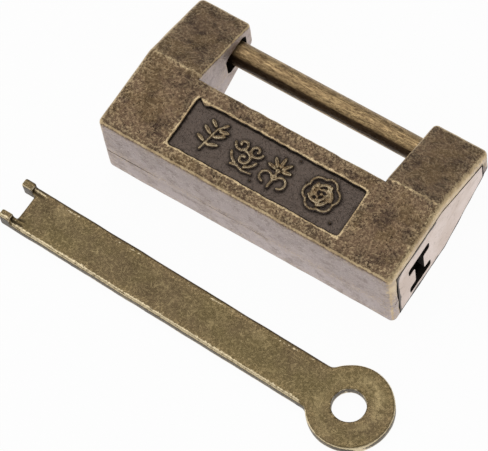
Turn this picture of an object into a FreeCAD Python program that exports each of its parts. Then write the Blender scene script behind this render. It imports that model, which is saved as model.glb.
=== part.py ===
import FreeCAD, Part
import math
import os
import re
import Sketcher

# A cast sliding padlock of the old spring type, lying on its back, with its loose key beside it.
# Frame: +X along the lock towards the keyhole end, +Y from the base edge towards the shackle bar,
# +Z out of the front face. The origin is the centre of the flat lower part of the back face.
# Heights are measured from the base edge along Y, depths from the back face along Z.

DOCUMENT_NAME = "sliding_padlock"
SHEET_NAME = "Sizes"

# Driving dimensions in millimetres: alias, value, what it sizes.
SIZES = (
    ("body_length", 50.0, "case, end to end"),
    ("body_thickness", 14.7, "case, back face to front face"),
    ("lower_height", 14.0, "straight lower part of the case, base edge to the bend"),
    ("total_height", 26.75, "case, base edge to the top of the ears"),
    ("top_thickness", 4.94, "ears at their top"),
    ("ear_width", 9.1, "each ear along the case"),
    ("slot_floor", 13.37, "height of the floor between the ears"),
    ("seam_depth", 5.9, "joint between the two castings"),
    ("edge_round", 0.95, "rounding of the outer edges"),
    ("slot_round", 0.5, "rounding of the edges around the slot"),
    ("rim_front", 1.9, "casting rim in front of the end plates"),
    ("rim_back", 0.9, "casting rim behind the end plates"),
    ("rim_base", 1.8, "casting rim below the end plates"),
    ("rim_crown", 1.95, "casting rim above the end plates"),
    ("plate_ledge", 0.6, "ledge that the end plates seat on"),
    ("plate_thickness", 1.2, "both end plates"),
    ("plate_round", 0.12, "edges of both end plates' outer faces"),
    ("plate_gap", 0.1, "gap around the keyhole plate"),
    ("head_gap", 0.15, "gap around the head plate, which slides out"),
    ("ear_inner_wall", 1.5, "ear wall next to the slot"),
    ("slot_floor_wall", 1.4, "casting under the floor of the slot"),
    ("panel_length", 29.0, "sunken panel along the case"),
    ("panel_height", 8.2, "sunken panel across the case"),
    ("panel_base", 2.4, "height of the lower edge of the panel"),
    ("panel_shift", 0.2, "panel centre beyond the middle of the case"),
    ("panel_depth", 0.6, "depth of the panel floor"),
    ("panel_corner", 0.5, "corner rounding of the panel"),
    ("panel_rim_round", 0.15, "worn edge around the panel"),
    ("keyhole_height", 7.4, "height of the keyhole centre"),
    ("keyhole_depth", 5.95, "depth of the keyhole centre, and of the stem"),
    ("keyhole_clearance", 0.2, "room around the key in the keyhole"),
    ("keyhole_peg_room", 0.8, "room above and below the pegs, whichever way up the key goes in"),
    ("keyhole_blade_room", 0.4, "room above and below the blade"),
    ("keyhole_corner", 0.45, "corner rounding of the keyhole"),
    ("catch_inset", 7.8, "left end of the case to the catch plate"),
    ("catch_thickness", 1.2, "catch plate"),
    ("catch_groove", 0.4, "depth of the groove that holds the catch plate"),
    ("catch_clearance", 0.05, "room around the catch plate in its groove"),
    ("boss_inset", 4.4, "ends of the case to the pin bosses"),
    ("boss_radius", 1.4, "pin bosses"),
    ("boss_base_height", 3.4, "height of the lower pin bosses"),
    ("boss_ear_height", 15.6, "height of the pin bosses in the ears"),
    ("pin_radius", 0.7, "press pins"),
    ("pin_length", 8.4, "press pins"),
    ("pin_depth", 2.3, "depth at which the press pins begin"),
    ("pin_relief", 0.1, "air at each end of a pin hole"),
    ("rod_radius", 1.91, "shackle bar"),
    ("rod_height", 22.63, "height of the shackle bar"),
    ("rod_clearance", 0.2, "room around the bar in the keyhole ear"),
    ("rod_bite", 4.0, "length of the bar inside the keyhole ear"),
    ("rod_tip_chamfer", 0.5, "lead-in at the tip of the bar"),
    ("tenon_radius", 1.3, "riveted tenon of the bar in the head plate"),
    ("window_beside", 0.39, "room beside the bar in the opening of the head ear"),
    ("window_above", 0.35, "room above the bar in that opening"),
    ("window_below", 1.1, "room below the bar in that opening"),
    ("window_corner", 0.7, "cut-off corners of that opening"),
    ("stem_thickness", 1.6, "flat stem that carries the leaf springs"),
    ("stem_roof_gap", 0.32, "flat stem to the roof of the case above it"),
    ("stem_reach", 34.0, "head plate's outer face to the stem's tip"),
    ("stem_key_gap", 0.3, "stem to the blade of the key below it"),
    ("tenon_shoulder", 0.4, "shoulder of the stem's tenon in the head plate"),
    ("leaf_thickness", 0.4, "leaf springs"),
    ("leaf_seat", 6.2, "flat stretch of a leaf riveted to the stem"),
    ("leaf_bite", 0.85, "free end of a leaf beyond the edge of the slot that stops it"),
    ("leaf_catch_gap", 0.3, "free ends of the leaves to the catch plate"),
    ("rivet_radius", 0.6, "rivets through stem and leaves"),
    ("rivet_head_radius", 1.05, "rivet heads"),
    ("rivet_head_height", 0.3, "rivet heads"),
    ("rivet_pitch", 3.0, "distance between the two rivets"),
    ("key_width", 7.2, "blade of the key"),
    ("key_thickness", 1.5, "blade and bow of the key"),
    ("key_reach", 60.0, "key ring hole to the key's tip"),
    ("key_ring_radius", 2.54, "key ring hole"),
    ("bow_radius", 6.5, "round bow of the key"),
    ("bow_shift", 0.2, "centre of the bow beyond the key ring hole"),
    ("neck_round", 1.2, "rounding where the blade joins the bow"),
    ("key_edge_round", 0.4, "rounding of the key's edges"),
    ("notch_depth", 2.4, "notch in the key's tip"),
    ("peg_width", 1.35, "pegs at the key's tip, across the blade"),
    ("peg_length", 2.0, "pegs, along the blade"),
    ("peg_height", 2.7, "pegs, from the back of the blade"),
    ("peg_round", 0.35, "rounding of the pegs and of the notch between them"),
    ("ridge_length", 2.4, "ridge that braces each peg from behind"),
    ("ridge_height", 0.5, "that ridge above the blade, where it meets the peg"),
    ("ridge_width", 0.5, "that ridge across the blade"),
    ("key_place_x", 26.45, "key ring hole, along the case"),
    ("key_place_y", 21.4, "key ring hole, out from the middle of the lower part"),
    ("key_turn", 1.92, "degrees by which the key's tip points away from the case"),
)

# Places and sizes that follow from the driving dimensions.
HALF_LENGTH = "(body_length / 2)"
HALF_SLOT = "(body_length / 2 - ear_width)"
BASE = "(-lower_height / 2)"
BEND = "(lower_height / 2)"
TOP = "(total_height - lower_height / 2)"
SLOT_FLOOR = "(slot_floor - lower_height / 2)"
MIDDLE_DEPTH = "(body_thickness / 2)"
TAPER = "((body_thickness - top_thickness) / 2 / (total_height - lower_height))"
ROD_Y = "(rod_height - lower_height / 2)"
KEYHOLE_Y = "(keyhole_height - lower_height / 2)"
STEM_LOW = "(keyhole_height + key_thickness / 2 + stem_key_gap - lower_height / 2)"
STEM_TIP = "(stem_reach - body_length / 2)"
CATCH_X = "(catch_inset - body_length / 2)"
LEAF_END = "(catch_inset + catch_thickness + leaf_catch_gap - body_length / 2)"
CAVITY_FRONT = "(body_thickness - rim_front - plate_ledge)"
CAVITY_BACK = "(rim_back + plate_ledge)"
CAVITY_BASE = "(rim_base + plate_ledge - lower_height / 2)"
CAVITY_ROOF = "(slot_floor - slot_floor_wall - lower_height / 2)"
STEM_HEIGHT = f"({CAVITY_ROOF} - stem_roof_gap - {STEM_LOW})"
NOTCH_WIDTH = "(key_width - 2 * peg_width)"
CATCH_HALF_SLOT = f"({NOTCH_WIDTH} / 2 + keyhole_clearance)"
LEAF_SPREAD = f"({CATCH_HALF_SLOT} + leaf_bite)"

ALIASES = {alias for alias, _, _ in SIZES}
VALUES = {alias: value for alias, value, _ in SIZES}
TOUCH = 1e-4

doc = FreeCAD.newDocument(DOCUMENT_NAME)
sheet = doc.addObject("Spreadsheet::Sheet", SHEET_NAME)
for row, (alias, value, note) in enumerate(SIZES, start=1):
    sheet.set(f"A{row}", alias)
    sheet.set(f"B{row}", str(value))
    sheet.setAlias(f"B{row}", alias)
    sheet.set(f"C{row}", note)
doc.recompute()


def formula(text):
    """Turn a formula written with bare size names into one that reads the sheet."""
    return re.sub(r"[a-z_]+", lambda word: f"{SHEET_NAME}.{word[0]}" if word[0] in ALIASES else word[0], text)


def bind(item, **formulas):
    """Bind properties of an object to formulas; a double underscore stands for a dot."""
    for name, text in formulas.items():
        item.setExpression(name.replace("__", "."), formula(text))


def new_body(label):
    """Start a sub-part built as a PartDesign body."""
    body = doc.addObject("PartDesign::Body", label)
    body.Label = label
    return body


def new_sketch(body, plane, start):
    """Start a sketch on one of the body's own origin planes, moved along its normal."""
    sketch = body.newObject("Sketcher::SketchObject", "Profile")
    origin_plane = [item for item in body.Origin.OriginFeatures if item.Role == plane][0]
    sketch.AttachmentSupport = (origin_plane, [""])
    sketch.MapMode = "FlatFace"
    bind(sketch, AttachmentOffset__Base__z=start)
    return sketch


def place_point(sketch, geometry, point, place):
    """Fix a point of a sketch by its two distances from the sketch's origin."""
    for kind, text in zip(("DistanceX", "DistanceY"), place):
        index = sketch.addConstraint(Sketcher.Constraint(kind, -1, 1, geometry, point, 1.0))
        sketch.setExpression(f"Constraints[{index}]", formula(text))


def polygon(sketch, places):
    """Draw a closed outline through places given as pairs of formulas."""
    count = len(places)
    angles = [2 * math.pi * number / count for number in range(count)]
    spots = [FreeCAD.Vector(math.cos(angle), math.sin(angle), 0) for angle in angles]
    first = sketch.GeometryCount
    for number in range(count):
        sketch.addGeometry(Part.LineSegment(spots[number], spots[(number + 1) % count]), False)
    for number, place in enumerate(places):
        before = first + (number - 1) % count
        sketch.addConstraint(Sketcher.Constraint("Coincident", before, 2, first + number, 1))
        place_point(sketch, first + number, 1, place)


def circle(sketch, centre, radius):
    """Draw a circle at a place, with a radius, both given as formulas."""
    geometry = sketch.addGeometry(Part.Circle(FreeCAD.Vector(0, 0, 0), FreeCAD.Vector(0, 0, 1), 1.0), False)
    place_point(sketch, geometry, 3, centre)
    index = sketch.addConstraint(Sketcher.Constraint("Radius", geometry, 1.0))
    sketch.setExpression(f"Constraints[{index}]", formula(radius))


def rectangle(low, high):
    """Corners of an upright rectangle between two opposite corners."""
    return [low, (high[0], low[1]), high, (low[0], high[1])]


def clipped_rectangle(low, high, cut):
    """Corners of an upright rectangle whose four corners are cut off."""
    return [(f"{low[0]} + {cut}", low[1]), (f"{high[0]} - {cut}", low[1]),
            (high[0], f"{low[1]} + {cut}"), (high[0], f"{high[1]} - {cut}"),
            (f"{high[0]} - {cut}", high[1]), (f"{low[0]} + {cut}", high[1]),
            (low[0], f"{high[1]} - {cut}"), (low[0], f"{low[1]} + {cut}")]


def extrude(body, kind, plane, start, length, outlines=(), circles=()):
    """Pad or pocket outlines from a start along the plane's normal, and check that it did something."""
    sketch = new_sketch(body, plane, start)
    for places in outlines:
        polygon(sketch, places)
    for centre, radius in circles:
        circle(sketch, centre, radius)
    before = body.Shape.Volume if body.Tip else 0.0
    feature = body.newObject(f"PartDesign::{kind}", kind)
    feature.Profile = sketch
    feature.Reversed = kind == "Pocket"
    bind(feature, Length=length)
    doc.recompute()
    if abs(body.Shape.Volume - before) < TOUCH:
        raise RuntimeError(f"{body.Label}: {feature.Name} changed nothing")
    return feature


def pad(body, plane, start, length, **profile):
    """Add material along the plane's normal."""
    return extrude(body, "Pad", plane, start, length, **profile)


def pocket(body, plane, start, length, **profile):
    """Remove material along the plane's normal."""
    return extrude(body, "Pocket", plane, start, length, **profile)


def round_edges(body, radius, wanted):
    """Fillet every edge of the body that the test picks."""
    base = body.Tip
    edges = base.Shape.Edges
    names = [f"Edge{number}" for number, edge in enumerate(edges, start=1) if wanted(edge)]
    if not names:
        raise RuntimeError(f"{body.Label}: no edge to round")
    fillet = body.newObject("PartDesign::Fillet", "Rounding")
    fillet.Base = (base, names)
    bind(fillet, Radius=radius)
    doc.recompute()
    return fillet


def middle(edge):
    """Point half way along an edge."""
    return edge.valueAt((edge.FirstParameter + edge.LastParameter) / 2)


def runs_along(edge, axis):
    """Whether an edge is straight and runs along the named axis."""
    ends = [vertex.Point for vertex in edge.Vertexes]
    return len(ends) > 1 and near(abs(getattr(ends[1] - ends[0], axis)), edge.Length)


def near(first, second):
    """Whether two lengths are the same."""
    return abs(first - second) < TOUCH


def case_section(front, back, base, crown):
    """Outline of the case across its length, drawn in by a margin on each side."""
    rise = f"((total_height - lower_height - ({crown})) * {TAPER})"
    top = f"{TOP} - ({crown})"
    return [
        (f"{BASE} + {base}", back),
        (f"{BASE} + {base}", f"body_thickness - ({front})"),
        (BEND, f"body_thickness - ({front})"),
        (top, f"body_thickness - ({front}) - {rise}"),
        (top, f"{back} + {rise}"),
        (BEND, back),
    ]


def plate_section(gap):
    """Outline of an end plate, or of its seat when the gap is nothing."""
    return case_section(f"rim_front + {gap}", f"rim_back + {gap}", f"rim_base + {gap}", f"rim_crown + {gap}")


def slot_edges(edge):
    """Edges around the slot between the ears, on the outer faces."""
    point = middle(edge)
    half_slot = VALUES["body_length"] / 2 - VALUES["ear_width"]
    floor = VALUES["slot_floor"] - VALUES["lower_height"] / 2
    beside = near(abs(point.x), half_slot) and point.y > floor + TOUCH
    return (beside or near(point.y, floor)) and not runs_along(edge, "z")


def on_bend(edge):
    """Edges along the shallow bend where the ears start to taper."""
    return runs_along(edge, "x") and near(middle(edge).y, VALUES["lower_height"] / 2)


def make_shell(label, outline):
    """Cast half of the case: walls, seats for the plates, bosses, grooves and openings for the bar."""
    shell = new_body(label)
    seam = VALUES["seam_depth"]
    pad(shell, "YZ_Plane", f"-{HALF_LENGTH}", "body_length", outlines=[outline])
    gap_box = rectangle((f"-{HALF_SLOT}", SLOT_FLOOR), (HALF_SLOT, f"{TOP} + edge_round"))
    pocket(shell, "XY_Plane", "0", "body_thickness", outlines=[gap_box])
    in_slot = VALUES["slot_floor"] - VALUES["lower_height"] / 2
    half_slot = VALUES["body_length"] / 2 - VALUES["ear_width"]

    def outer(edge):
        point = middle(edge)
        inner_corner = runs_along(edge, "z") and near(abs(point.x), half_slot) and near(point.y, in_slot)
        ear_top = runs_along(edge, "z") and near(abs(point.x), half_slot)
        on_seam = near(point.z, seam)
        return not (on_seam or inner_corner or on_bend(edge) or (slot_edges(edge) and not ear_top))

    round_edges(shell, "edge_round", outer)
    round_edges(shell, "slot_round", lambda edge: slot_edges(edge) and not near(middle(edge).z, seam))

    hollow = rectangle((CAVITY_BASE, CAVITY_BACK), (CAVITY_ROOF, CAVITY_FRONT))
    pocket(shell, "YZ_Plane", f"-{HALF_LENGTH}", "body_length", outlines=[hollow])
    ledge = "plate_ledge"
    ear_hollow = case_section(f"rim_front + {ledge}", f"rim_back + {ledge}",
                              f"rim_base + {ledge}", f"rim_crown + {ledge}")
    ear_length = "ear_width - ear_inner_wall"
    for start in (f"-{HALF_LENGTH}", f"{HALF_LENGTH} - ({ear_length})"):
        pocket(shell, "YZ_Plane", start, ear_length, outlines=[ear_hollow])
    for start in (f"-{HALF_LENGTH}", f"{HALF_LENGTH} - plate_thickness"):
        pocket(shell, "YZ_Plane", start, "plate_thickness", outlines=[plate_section("0")])

    bosses = [((f"{side}({HALF_LENGTH} - boss_inset)", f"{height} - lower_height / 2"), "boss_radius")
              for side in ("-", "") for height in ("boss_base_height", "boss_ear_height")]
    low, high = (CAVITY_BACK, "seam_depth") if label == "back_shell" else ("seam_depth", CAVITY_FRONT)
    pad(shell, "XY_Plane", low, f"{high} - {low}", circles=bosses)
    holes = [(centre, "pin_radius") for centre, _ in bosses]
    pocket(shell, "XY_Plane", "pin_depth - pin_relief", "pin_length + 2 * pin_relief", circles=holes)

    groove = rectangle((f"{CAVITY_BASE} - catch_groove", f"{CAVITY_BACK} - catch_groove"),
                       (f"{CAVITY_ROOF} + catch_groove", f"{CAVITY_FRONT} + catch_groove"))
    pocket(shell, "YZ_Plane", f"{CATCH_X} - catch_clearance", "catch_thickness + 2 * catch_clearance",
           outlines=[groove])

    for start, length in ((f"{HALF_SLOT} - edge_round", "edge_round + rod_bite + rod_clearance"),
                          (f"-{HALF_LENGTH}", "ear_width + edge_round")):
        pocket(shell, "YZ_Plane", start, length,
               circles=[((ROD_Y, MIDDLE_DEPTH), "rod_radius + rod_clearance")])
    half_width = "(rod_radius + window_beside)"
    window = clipped_rectangle((f"{ROD_Y} - rod_radius - window_below", f"{MIDDLE_DEPTH} - {half_width}"),
                               (f"{ROD_Y} + rod_radius + window_above", f"{MIDDLE_DEPTH} + {half_width}"),
                               "window_corner")
    pocket(shell, "YZ_Plane", f"-{HALF_SLOT} - ear_inner_wall", "ear_inner_wall + edge_round",
           outlines=[window])
    return shell


def make_front_shell():
    """Front casting with its sunken panel."""
    shell = make_shell("front_shell", [
        (BASE, "seam_depth"), (BASE, "body_thickness"), (BEND, "body_thickness"),
        (TOP, "(body_thickness + top_thickness) / 2"), (TOP, "seam_depth"),
    ])
    low = f"{BASE} + panel_base"
    panel = rectangle(("panel_shift - panel_length / 2", low),
                      ("panel_shift + panel_length / 2", f"{low} + panel_height"))
    pocket(shell, "XY_Plane", "body_thickness - panel_depth", "panel_depth", outlines=[panel])
    half_panel = VALUES["panel_length"] / 2
    middle_depth = VALUES["body_thickness"] - VALUES["panel_depth"] / 2

    def panel_corner(edge):
        point = middle(edge)
        return near(point.z, middle_depth) and near(abs(point.x - VALUES["panel_shift"]), half_panel) \
            and runs_along(edge, "z")

    round_edges(shell, "panel_corner", panel_corner)

    half_height = VALUES["panel_height"] / 2
    panel_middle = VALUES["panel_base"] + half_height - VALUES["lower_height"] / 2

    def panel_rim(edge):
        point = middle(edge)
        in_front_face = near(edge.BoundBox.ZMin, VALUES["body_thickness"])
        across = abs(point.x - VALUES["panel_shift"]) < half_panel + TOUCH
        return in_front_face and across and abs(point.y - panel_middle) < half_height + TOUCH

    round_edges(shell, "panel_rim_round", panel_rim)


def make_back_shell():
    """Back casting, plain and flat on its lower part."""
    make_shell("back_shell", [
        (BASE, "0"), (BEND, "0"), (TOP, "(body_thickness - top_thickness) / 2"),
        (TOP, "seam_depth"), (BASE, "seam_depth"),
    ])


def round_outline(plate, outer_face):
    """Ease the outline of an end plate on its outer face."""
    round_edges(plate, "plate_round",
                lambda edge: near(edge.BoundBox.XMin, outer_face) and near(edge.BoundBox.XMax, outer_face))


def make_keyhole_plate():
    """End plate with the keyhole: two upright slots for the pegs joined by one for the blade."""
    plate = new_body("keyhole_plate")
    pad(plate, "YZ_Plane", f"{HALF_LENGTH} - plate_thickness", "plate_thickness",
        outlines=[plate_section("plate_gap")])
    round_outline(plate, VALUES["body_length"] / 2)
    far = "(key_width / 2 + keyhole_clearance)"
    near_side = "(key_width / 2 - peg_width - keyhole_clearance)"
    tall = "(peg_height - key_thickness / 2 + keyhole_peg_room)"
    short = "(key_thickness / 2 + keyhole_blade_room)"
    front_slot = [(short, near_side), (tall, near_side), (tall, far),
                  (f"-{tall}", far), (f"-{tall}", near_side), (f"-{short}", near_side)]
    back_slot = [(across, f"-{depth}") for across, depth in reversed(front_slot)]
    outline = [(f"{KEYHOLE_Y} + ({across})", f"keyhole_depth + ({depth})")
               for across, depth in front_slot + back_slot]
    pocket(plate, "YZ_Plane", f"{HALF_LENGTH} - plate_thickness", "plate_thickness", outlines=[outline])
    reach = VALUES["peg_height"] - VALUES["key_thickness"] / 2 + VALUES["keyhole_peg_room"] + TOUCH
    keyhole_y = VALUES["keyhole_height"] - VALUES["lower_height"] / 2
    round_edges(plate, "keyhole_corner",
                lambda edge: runs_along(edge, "x") and abs(middle(edge).y - keyhole_y) < reach)


def make_catch_plate():
    """Partition whose slot lets the squeezed leaves through and stops the free ones."""
    plate = new_body("catch_plate")
    play = "catch_groove - catch_clearance"
    outline = rectangle((f"{CAVITY_BASE} - ({play})", f"{CAVITY_BACK} - ({play})"),
                        (f"{CAVITY_ROOF} + ({play})", f"{CAVITY_FRONT} + ({play})"))
    pad(plate, "YZ_Plane", CATCH_X, "catch_thickness", outlines=[outline])
    slot = rectangle((f"{STEM_LOW} - keyhole_clearance", f"keyhole_depth - {CATCH_HALF_SLOT}"),
                     (f"{STEM_LOW} + {STEM_HEIGHT} + keyhole_clearance",
                      f"keyhole_depth + {CATCH_HALF_SLOT}"))
    pocket(plate, "YZ_Plane", CATCH_X, "catch_thickness", outlines=[slot])


def make_shell_pins():
    """Four press pins that hold the two castings together."""
    pins = []
    for side in ("-", ""):
        for height in ("boss_base_height", "boss_ear_height"):
            pin = doc.addObject("Part::Cylinder", "Pin")
            bind(pin, Radius="pin_radius", Height="pin_length", Placement__Base__z="pin_depth",
                 Placement__Base__x=f"{side}({HALF_LENGTH} - boss_inset)",
                 Placement__Base__y=f"{height} - lower_height / 2")
            pins.append(pin)
    group = doc.addObject("Part::Compound", "shell_pins")
    group.Label = "shell_pins"
    group.Links = pins


def make_head_plate():
    """End plate of the shackle, with holes for the two riveted tenons."""
    plate = new_body("head_plate")
    pad(plate, "YZ_Plane", f"-{HALF_LENGTH}", "plate_thickness", outlines=[plate_section("head_gap")])
    round_outline(plate, -VALUES["body_length"] / 2)
    tenon = stem_tenon_section()
    pocket(plate, "YZ_Plane", f"-{HALF_LENGTH}", "plate_thickness", outlines=[tenon],
           circles=[((ROD_Y, MIDDLE_DEPTH), "tenon_radius")])


def stem_tenon_section():
    """Outline of the stem where it passes through the head plate."""
    half = "stem_thickness / 2"
    return rectangle((f"{STEM_LOW} + tenon_shoulder", f"keyhole_depth - {half}"),
                     (f"{STEM_LOW} + {STEM_HEIGHT} - tenon_shoulder", f"keyhole_depth + {half}"))


def make_shackle_rod():
    """Round bar that spans the slot, riveted to the head plate by its tenon."""
    rod = new_body("shackle_rod")
    centre = (ROD_Y, MIDDLE_DEPTH)
    pad(rod, "YZ_Plane", f"-{HALF_LENGTH}", "plate_thickness", circles=[(centre, "tenon_radius")])
    pad(rod, "YZ_Plane", f"plate_thickness - {HALF_LENGTH}",
        f"{HALF_SLOT} + rod_bite + {HALF_LENGTH} - plate_thickness", circles=[(centre, "rod_radius")])
    tip = VALUES["body_length"] / 2 - VALUES["ear_width"] + VALUES["rod_bite"]
    base = rod.Tip
    names = [f"Edge{number}" for number, edge in enumerate(base.Shape.Edges, start=1)
             if near(edge.BoundBox.XMin, tip) and near(edge.BoundBox.XMax, tip)]
    chamfer = rod.newObject("PartDesign::Chamfer", "LeadIn")
    chamfer.Base = (base, names)
    bind(chamfer, Size="rod_tip_chamfer")


def make_stem():
    """Flat stem that enters the case and carries the leaf springs at its tip."""
    stem = new_body("stem")
    pad(stem, "YZ_Plane", f"-{HALF_LENGTH}", "plate_thickness", outlines=[stem_tenon_section()])
    half = "stem_thickness / 2"
    blade = rectangle((STEM_LOW, f"keyhole_depth - {half}"),
                      (f"{STEM_LOW} + {STEM_HEIGHT}", f"keyhole_depth + {half}"))
    pad(stem, "YZ_Plane", f"plate_thickness - {HALF_LENGTH}", "stem_reach - plate_thickness",
        outlines=[blade])
    pocket(stem, "XY_Plane", f"keyhole_depth - {half}", "stem_thickness", circles=rivet_circles())


def rivet_places():
    """Where the rivets stand, as pairs of formulas."""
    first = f"{STEM_TIP} - (leaf_seat - rivet_pitch) / 2"
    return [(f"{first} - {step} * rivet_pitch", f"{STEM_LOW} + {STEM_HEIGHT} / 2") for step in (0, 1)]


def rivet_circles():
    """Rivet holes, as circles of a sketch."""
    return [(place, "rivet_radius") for place in rivet_places()]


def make_leaf(label, side):
    """Leaf spring: flat where it is riveted, then flaring away from the stem towards the catch plate."""
    leaf = new_body(label)
    bend = f"{STEM_TIP} - leaf_seat"
    foot = "stem_thickness / 2"
    offsets = [(STEM_TIP, foot), (STEM_TIP, f"{foot} + leaf_thickness"), (bend, f"{foot} + leaf_thickness"),
               (LEAF_END, LEAF_SPREAD), (LEAF_END, f"{LEAF_SPREAD} - leaf_thickness"), (bend, foot)]
    outline = [(along, f"keyhole_depth {side} ({depth})") for along, depth in offsets]
    pad(leaf, "XZ_Plane", f"-({STEM_LOW} + {STEM_HEIGHT})", STEM_HEIGHT, outlines=[outline])
    low = "keyhole_depth + stem_thickness / 2" if side == "+" else \
        "keyhole_depth - stem_thickness / 2 - leaf_thickness"
    pocket(leaf, "XY_Plane", low, "leaf_thickness", circles=rivet_circles())


def make_leaf_rivets():
    """Two rivets through the stem and both leaves."""
    stack = "(stem_thickness / 2 + leaf_thickness)"
    rivets = []
    for along, across in rivet_places():
        pieces = []
        for radius, low, tall in (("rivet_radius", f"keyhole_depth - {stack}", f"2 * {stack}"),
                                  ("rivet_head_radius", f"keyhole_depth + {stack}", "rivet_head_height"),
                                  ("rivet_head_radius", f"keyhole_depth - {stack} - rivet_head_height",
                                   "rivet_head_height")):
            piece = doc.addObject("Part::Cylinder", "RivetPiece")
            bind(piece, Radius=radius, Height=tall, Placement__Base__x=along,
                 Placement__Base__y=across, Placement__Base__z=low)
            pieces.append(piece)
        rivet = doc.addObject("Part::MultiFuse", "Rivet")
        rivet.Shapes = pieces
        rivets.append(rivet)
    group = doc.addObject("Part::Compound", "leaf_rivets")
    group.Label = "leaf_rivets"
    group.Links = rivets


def make_key():
    """One-piece key lying flat: round bow with a ring hole, flat blade, and a notched tip with two pegs."""
    key = new_body("key")
    half = "key_width / 2"
    pad(key, "XY_Plane", "0", "key_thickness", circles=[(("bow_shift", "0"), "bow_radius")])
    pad(key, "XY_Plane", "0", "key_thickness",
        outlines=[rectangle(("-key_reach", f"-{half}"), ("0", half))])
    top = VALUES["key_thickness"]

    def neck(edge):
        point = middle(edge)
        return runs_along(edge, "z") and -VALUES["key_reach"] + 1 < point.x < 0

    round_edges(key, "neck_round", neck)
    round_edges(key, "key_edge_round", lambda edge: near(middle(edge).z, top) and not near(middle(edge).x,
                                                                                   -VALUES["key_reach"]))
    pocket(key, "XY_Plane", "0", "key_thickness", circles=[(("0", "0"), "key_ring_radius")])
    notch = f"{NOTCH_WIDTH} / 2"
    pocket(key, "XY_Plane", "0", "key_thickness",
           outlines=[rectangle(("-key_reach", f"-{notch}"), ("notch_depth - key_reach", notch))])
    pegs = [rectangle(("-key_reach", f"{side}{half}"), ("peg_length - key_reach", f"{side}({notch})"))
            for side in ("-", "")]
    pad(key, "XY_Plane", "0", "peg_height", outlines=pegs)
    peg_inside = VALUES["key_width"] / 2 - VALUES["peg_width"] - TOUCH
    peg_end = VALUES["peg_length"] - VALUES["key_reach"]

    def peg_edge(edge):
        point = middle(edge)
        on_peg = abs(point.y) > peg_inside and point.x < peg_end + TOUCH
        at_tip = near(point.x, -VALUES["key_reach"]) and point.z > TOUCH
        return on_peg and (near(point.z, VALUES["peg_height"]) or (at_tip and runs_along(edge, "z")))

    round_edges(key, "peg_round", peg_edge)
    notch_floor = VALUES["notch_depth"] - VALUES["key_reach"]
    round_edges(key, "peg_round", lambda edge: runs_along(edge, "z") and near(middle(edge).x, notch_floor))
    foot, crest = "peg_length - key_reach - ridge_width", "key_thickness + ridge_height"
    ridge = [(foot, "key_thickness / 2"), (f"{foot} + ridge_width + ridge_length", "key_thickness / 2"),
             (f"{foot} + ridge_width + ridge_length", "key_thickness"), (foot, crest)]
    for place in (f"{half} - key_edge_round", f"peg_width - {half}"):
        pad(key, "XZ_Plane", f"-({place})", "ridge_width", outlines=[ridge])
    bind(key, Placement__Base__x="key_place_x", Placement__Base__y="-key_place_y",
         Placement__Rotation__Angle="-key_turn")
    key.Placement.Rotation.Axis = FreeCAD.Vector(0, 0, 1)


def write_parts(labels):
    """Check every object and write each sub-part to its own file."""
    doc.recompute()
    failed = [item.Label for item in doc.Objects if {"Invalid", "Error"} & set(item.State)]
    if failed:
        raise RuntimeError(f"failed objects: {failed}")
    shapes = {label: doc.getObjectsByLabel(label)[0].Shape for label in labels}
    for label, shape in shapes.items():
        if shape.isNull() or not shape.isValid() or not shape.Solids:
            raise RuntimeError(f"{label}: its shape is not a valid solid")
    os.makedirs("parts", exist_ok=True)
    for label, shape in shapes.items():
        shape.exportStep(f"parts/{label}.step")
        box = shape.BoundBox
        print(f"{label}: {len(shape.Solids)} solids, {shape.Volume:.2f} mm3, "
              f"x {box.XMin:.2f} to {box.XMax:.2f}, y {box.YMin:.2f} to {box.YMax:.2f}, "
              f"z {box.ZMin:.2f} to {box.ZMax:.2f}")


make_front_shell()
make_back_shell()
make_keyhole_plate()
make_catch_plate()
make_shell_pins()
make_head_plate()
make_shackle_rod()
make_stem()
make_leaf("front_leaf", "+")
make_leaf("back_leaf", "-")
make_leaf_rivets()
make_key()
write_parts(("front_shell", "back_shell", "keyhole_plate", "catch_plate", "shell_pins", "head_plate",
             "shackle_rod", "stem", "front_leaf", "back_leaf", "leaf_rivets", "key"))
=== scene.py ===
"""An antique-bronze slide padlock and its flat key: cast shells, raised ornament and worn finishes.

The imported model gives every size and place. Each class below makes one sub-assembly of the lock,
and each finish builds one procedural material. Sizes are millimetres unless a name says otherwise.
"""

import logging
import math
from collections.abc import Callable
from dataclasses import dataclass, field
from enum import Enum

import bmesh
import bpy
import numpy as np
from mathutils import Matrix, Quaternion, Vector, noise
from mathutils.bvhtree import BVHTree


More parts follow.
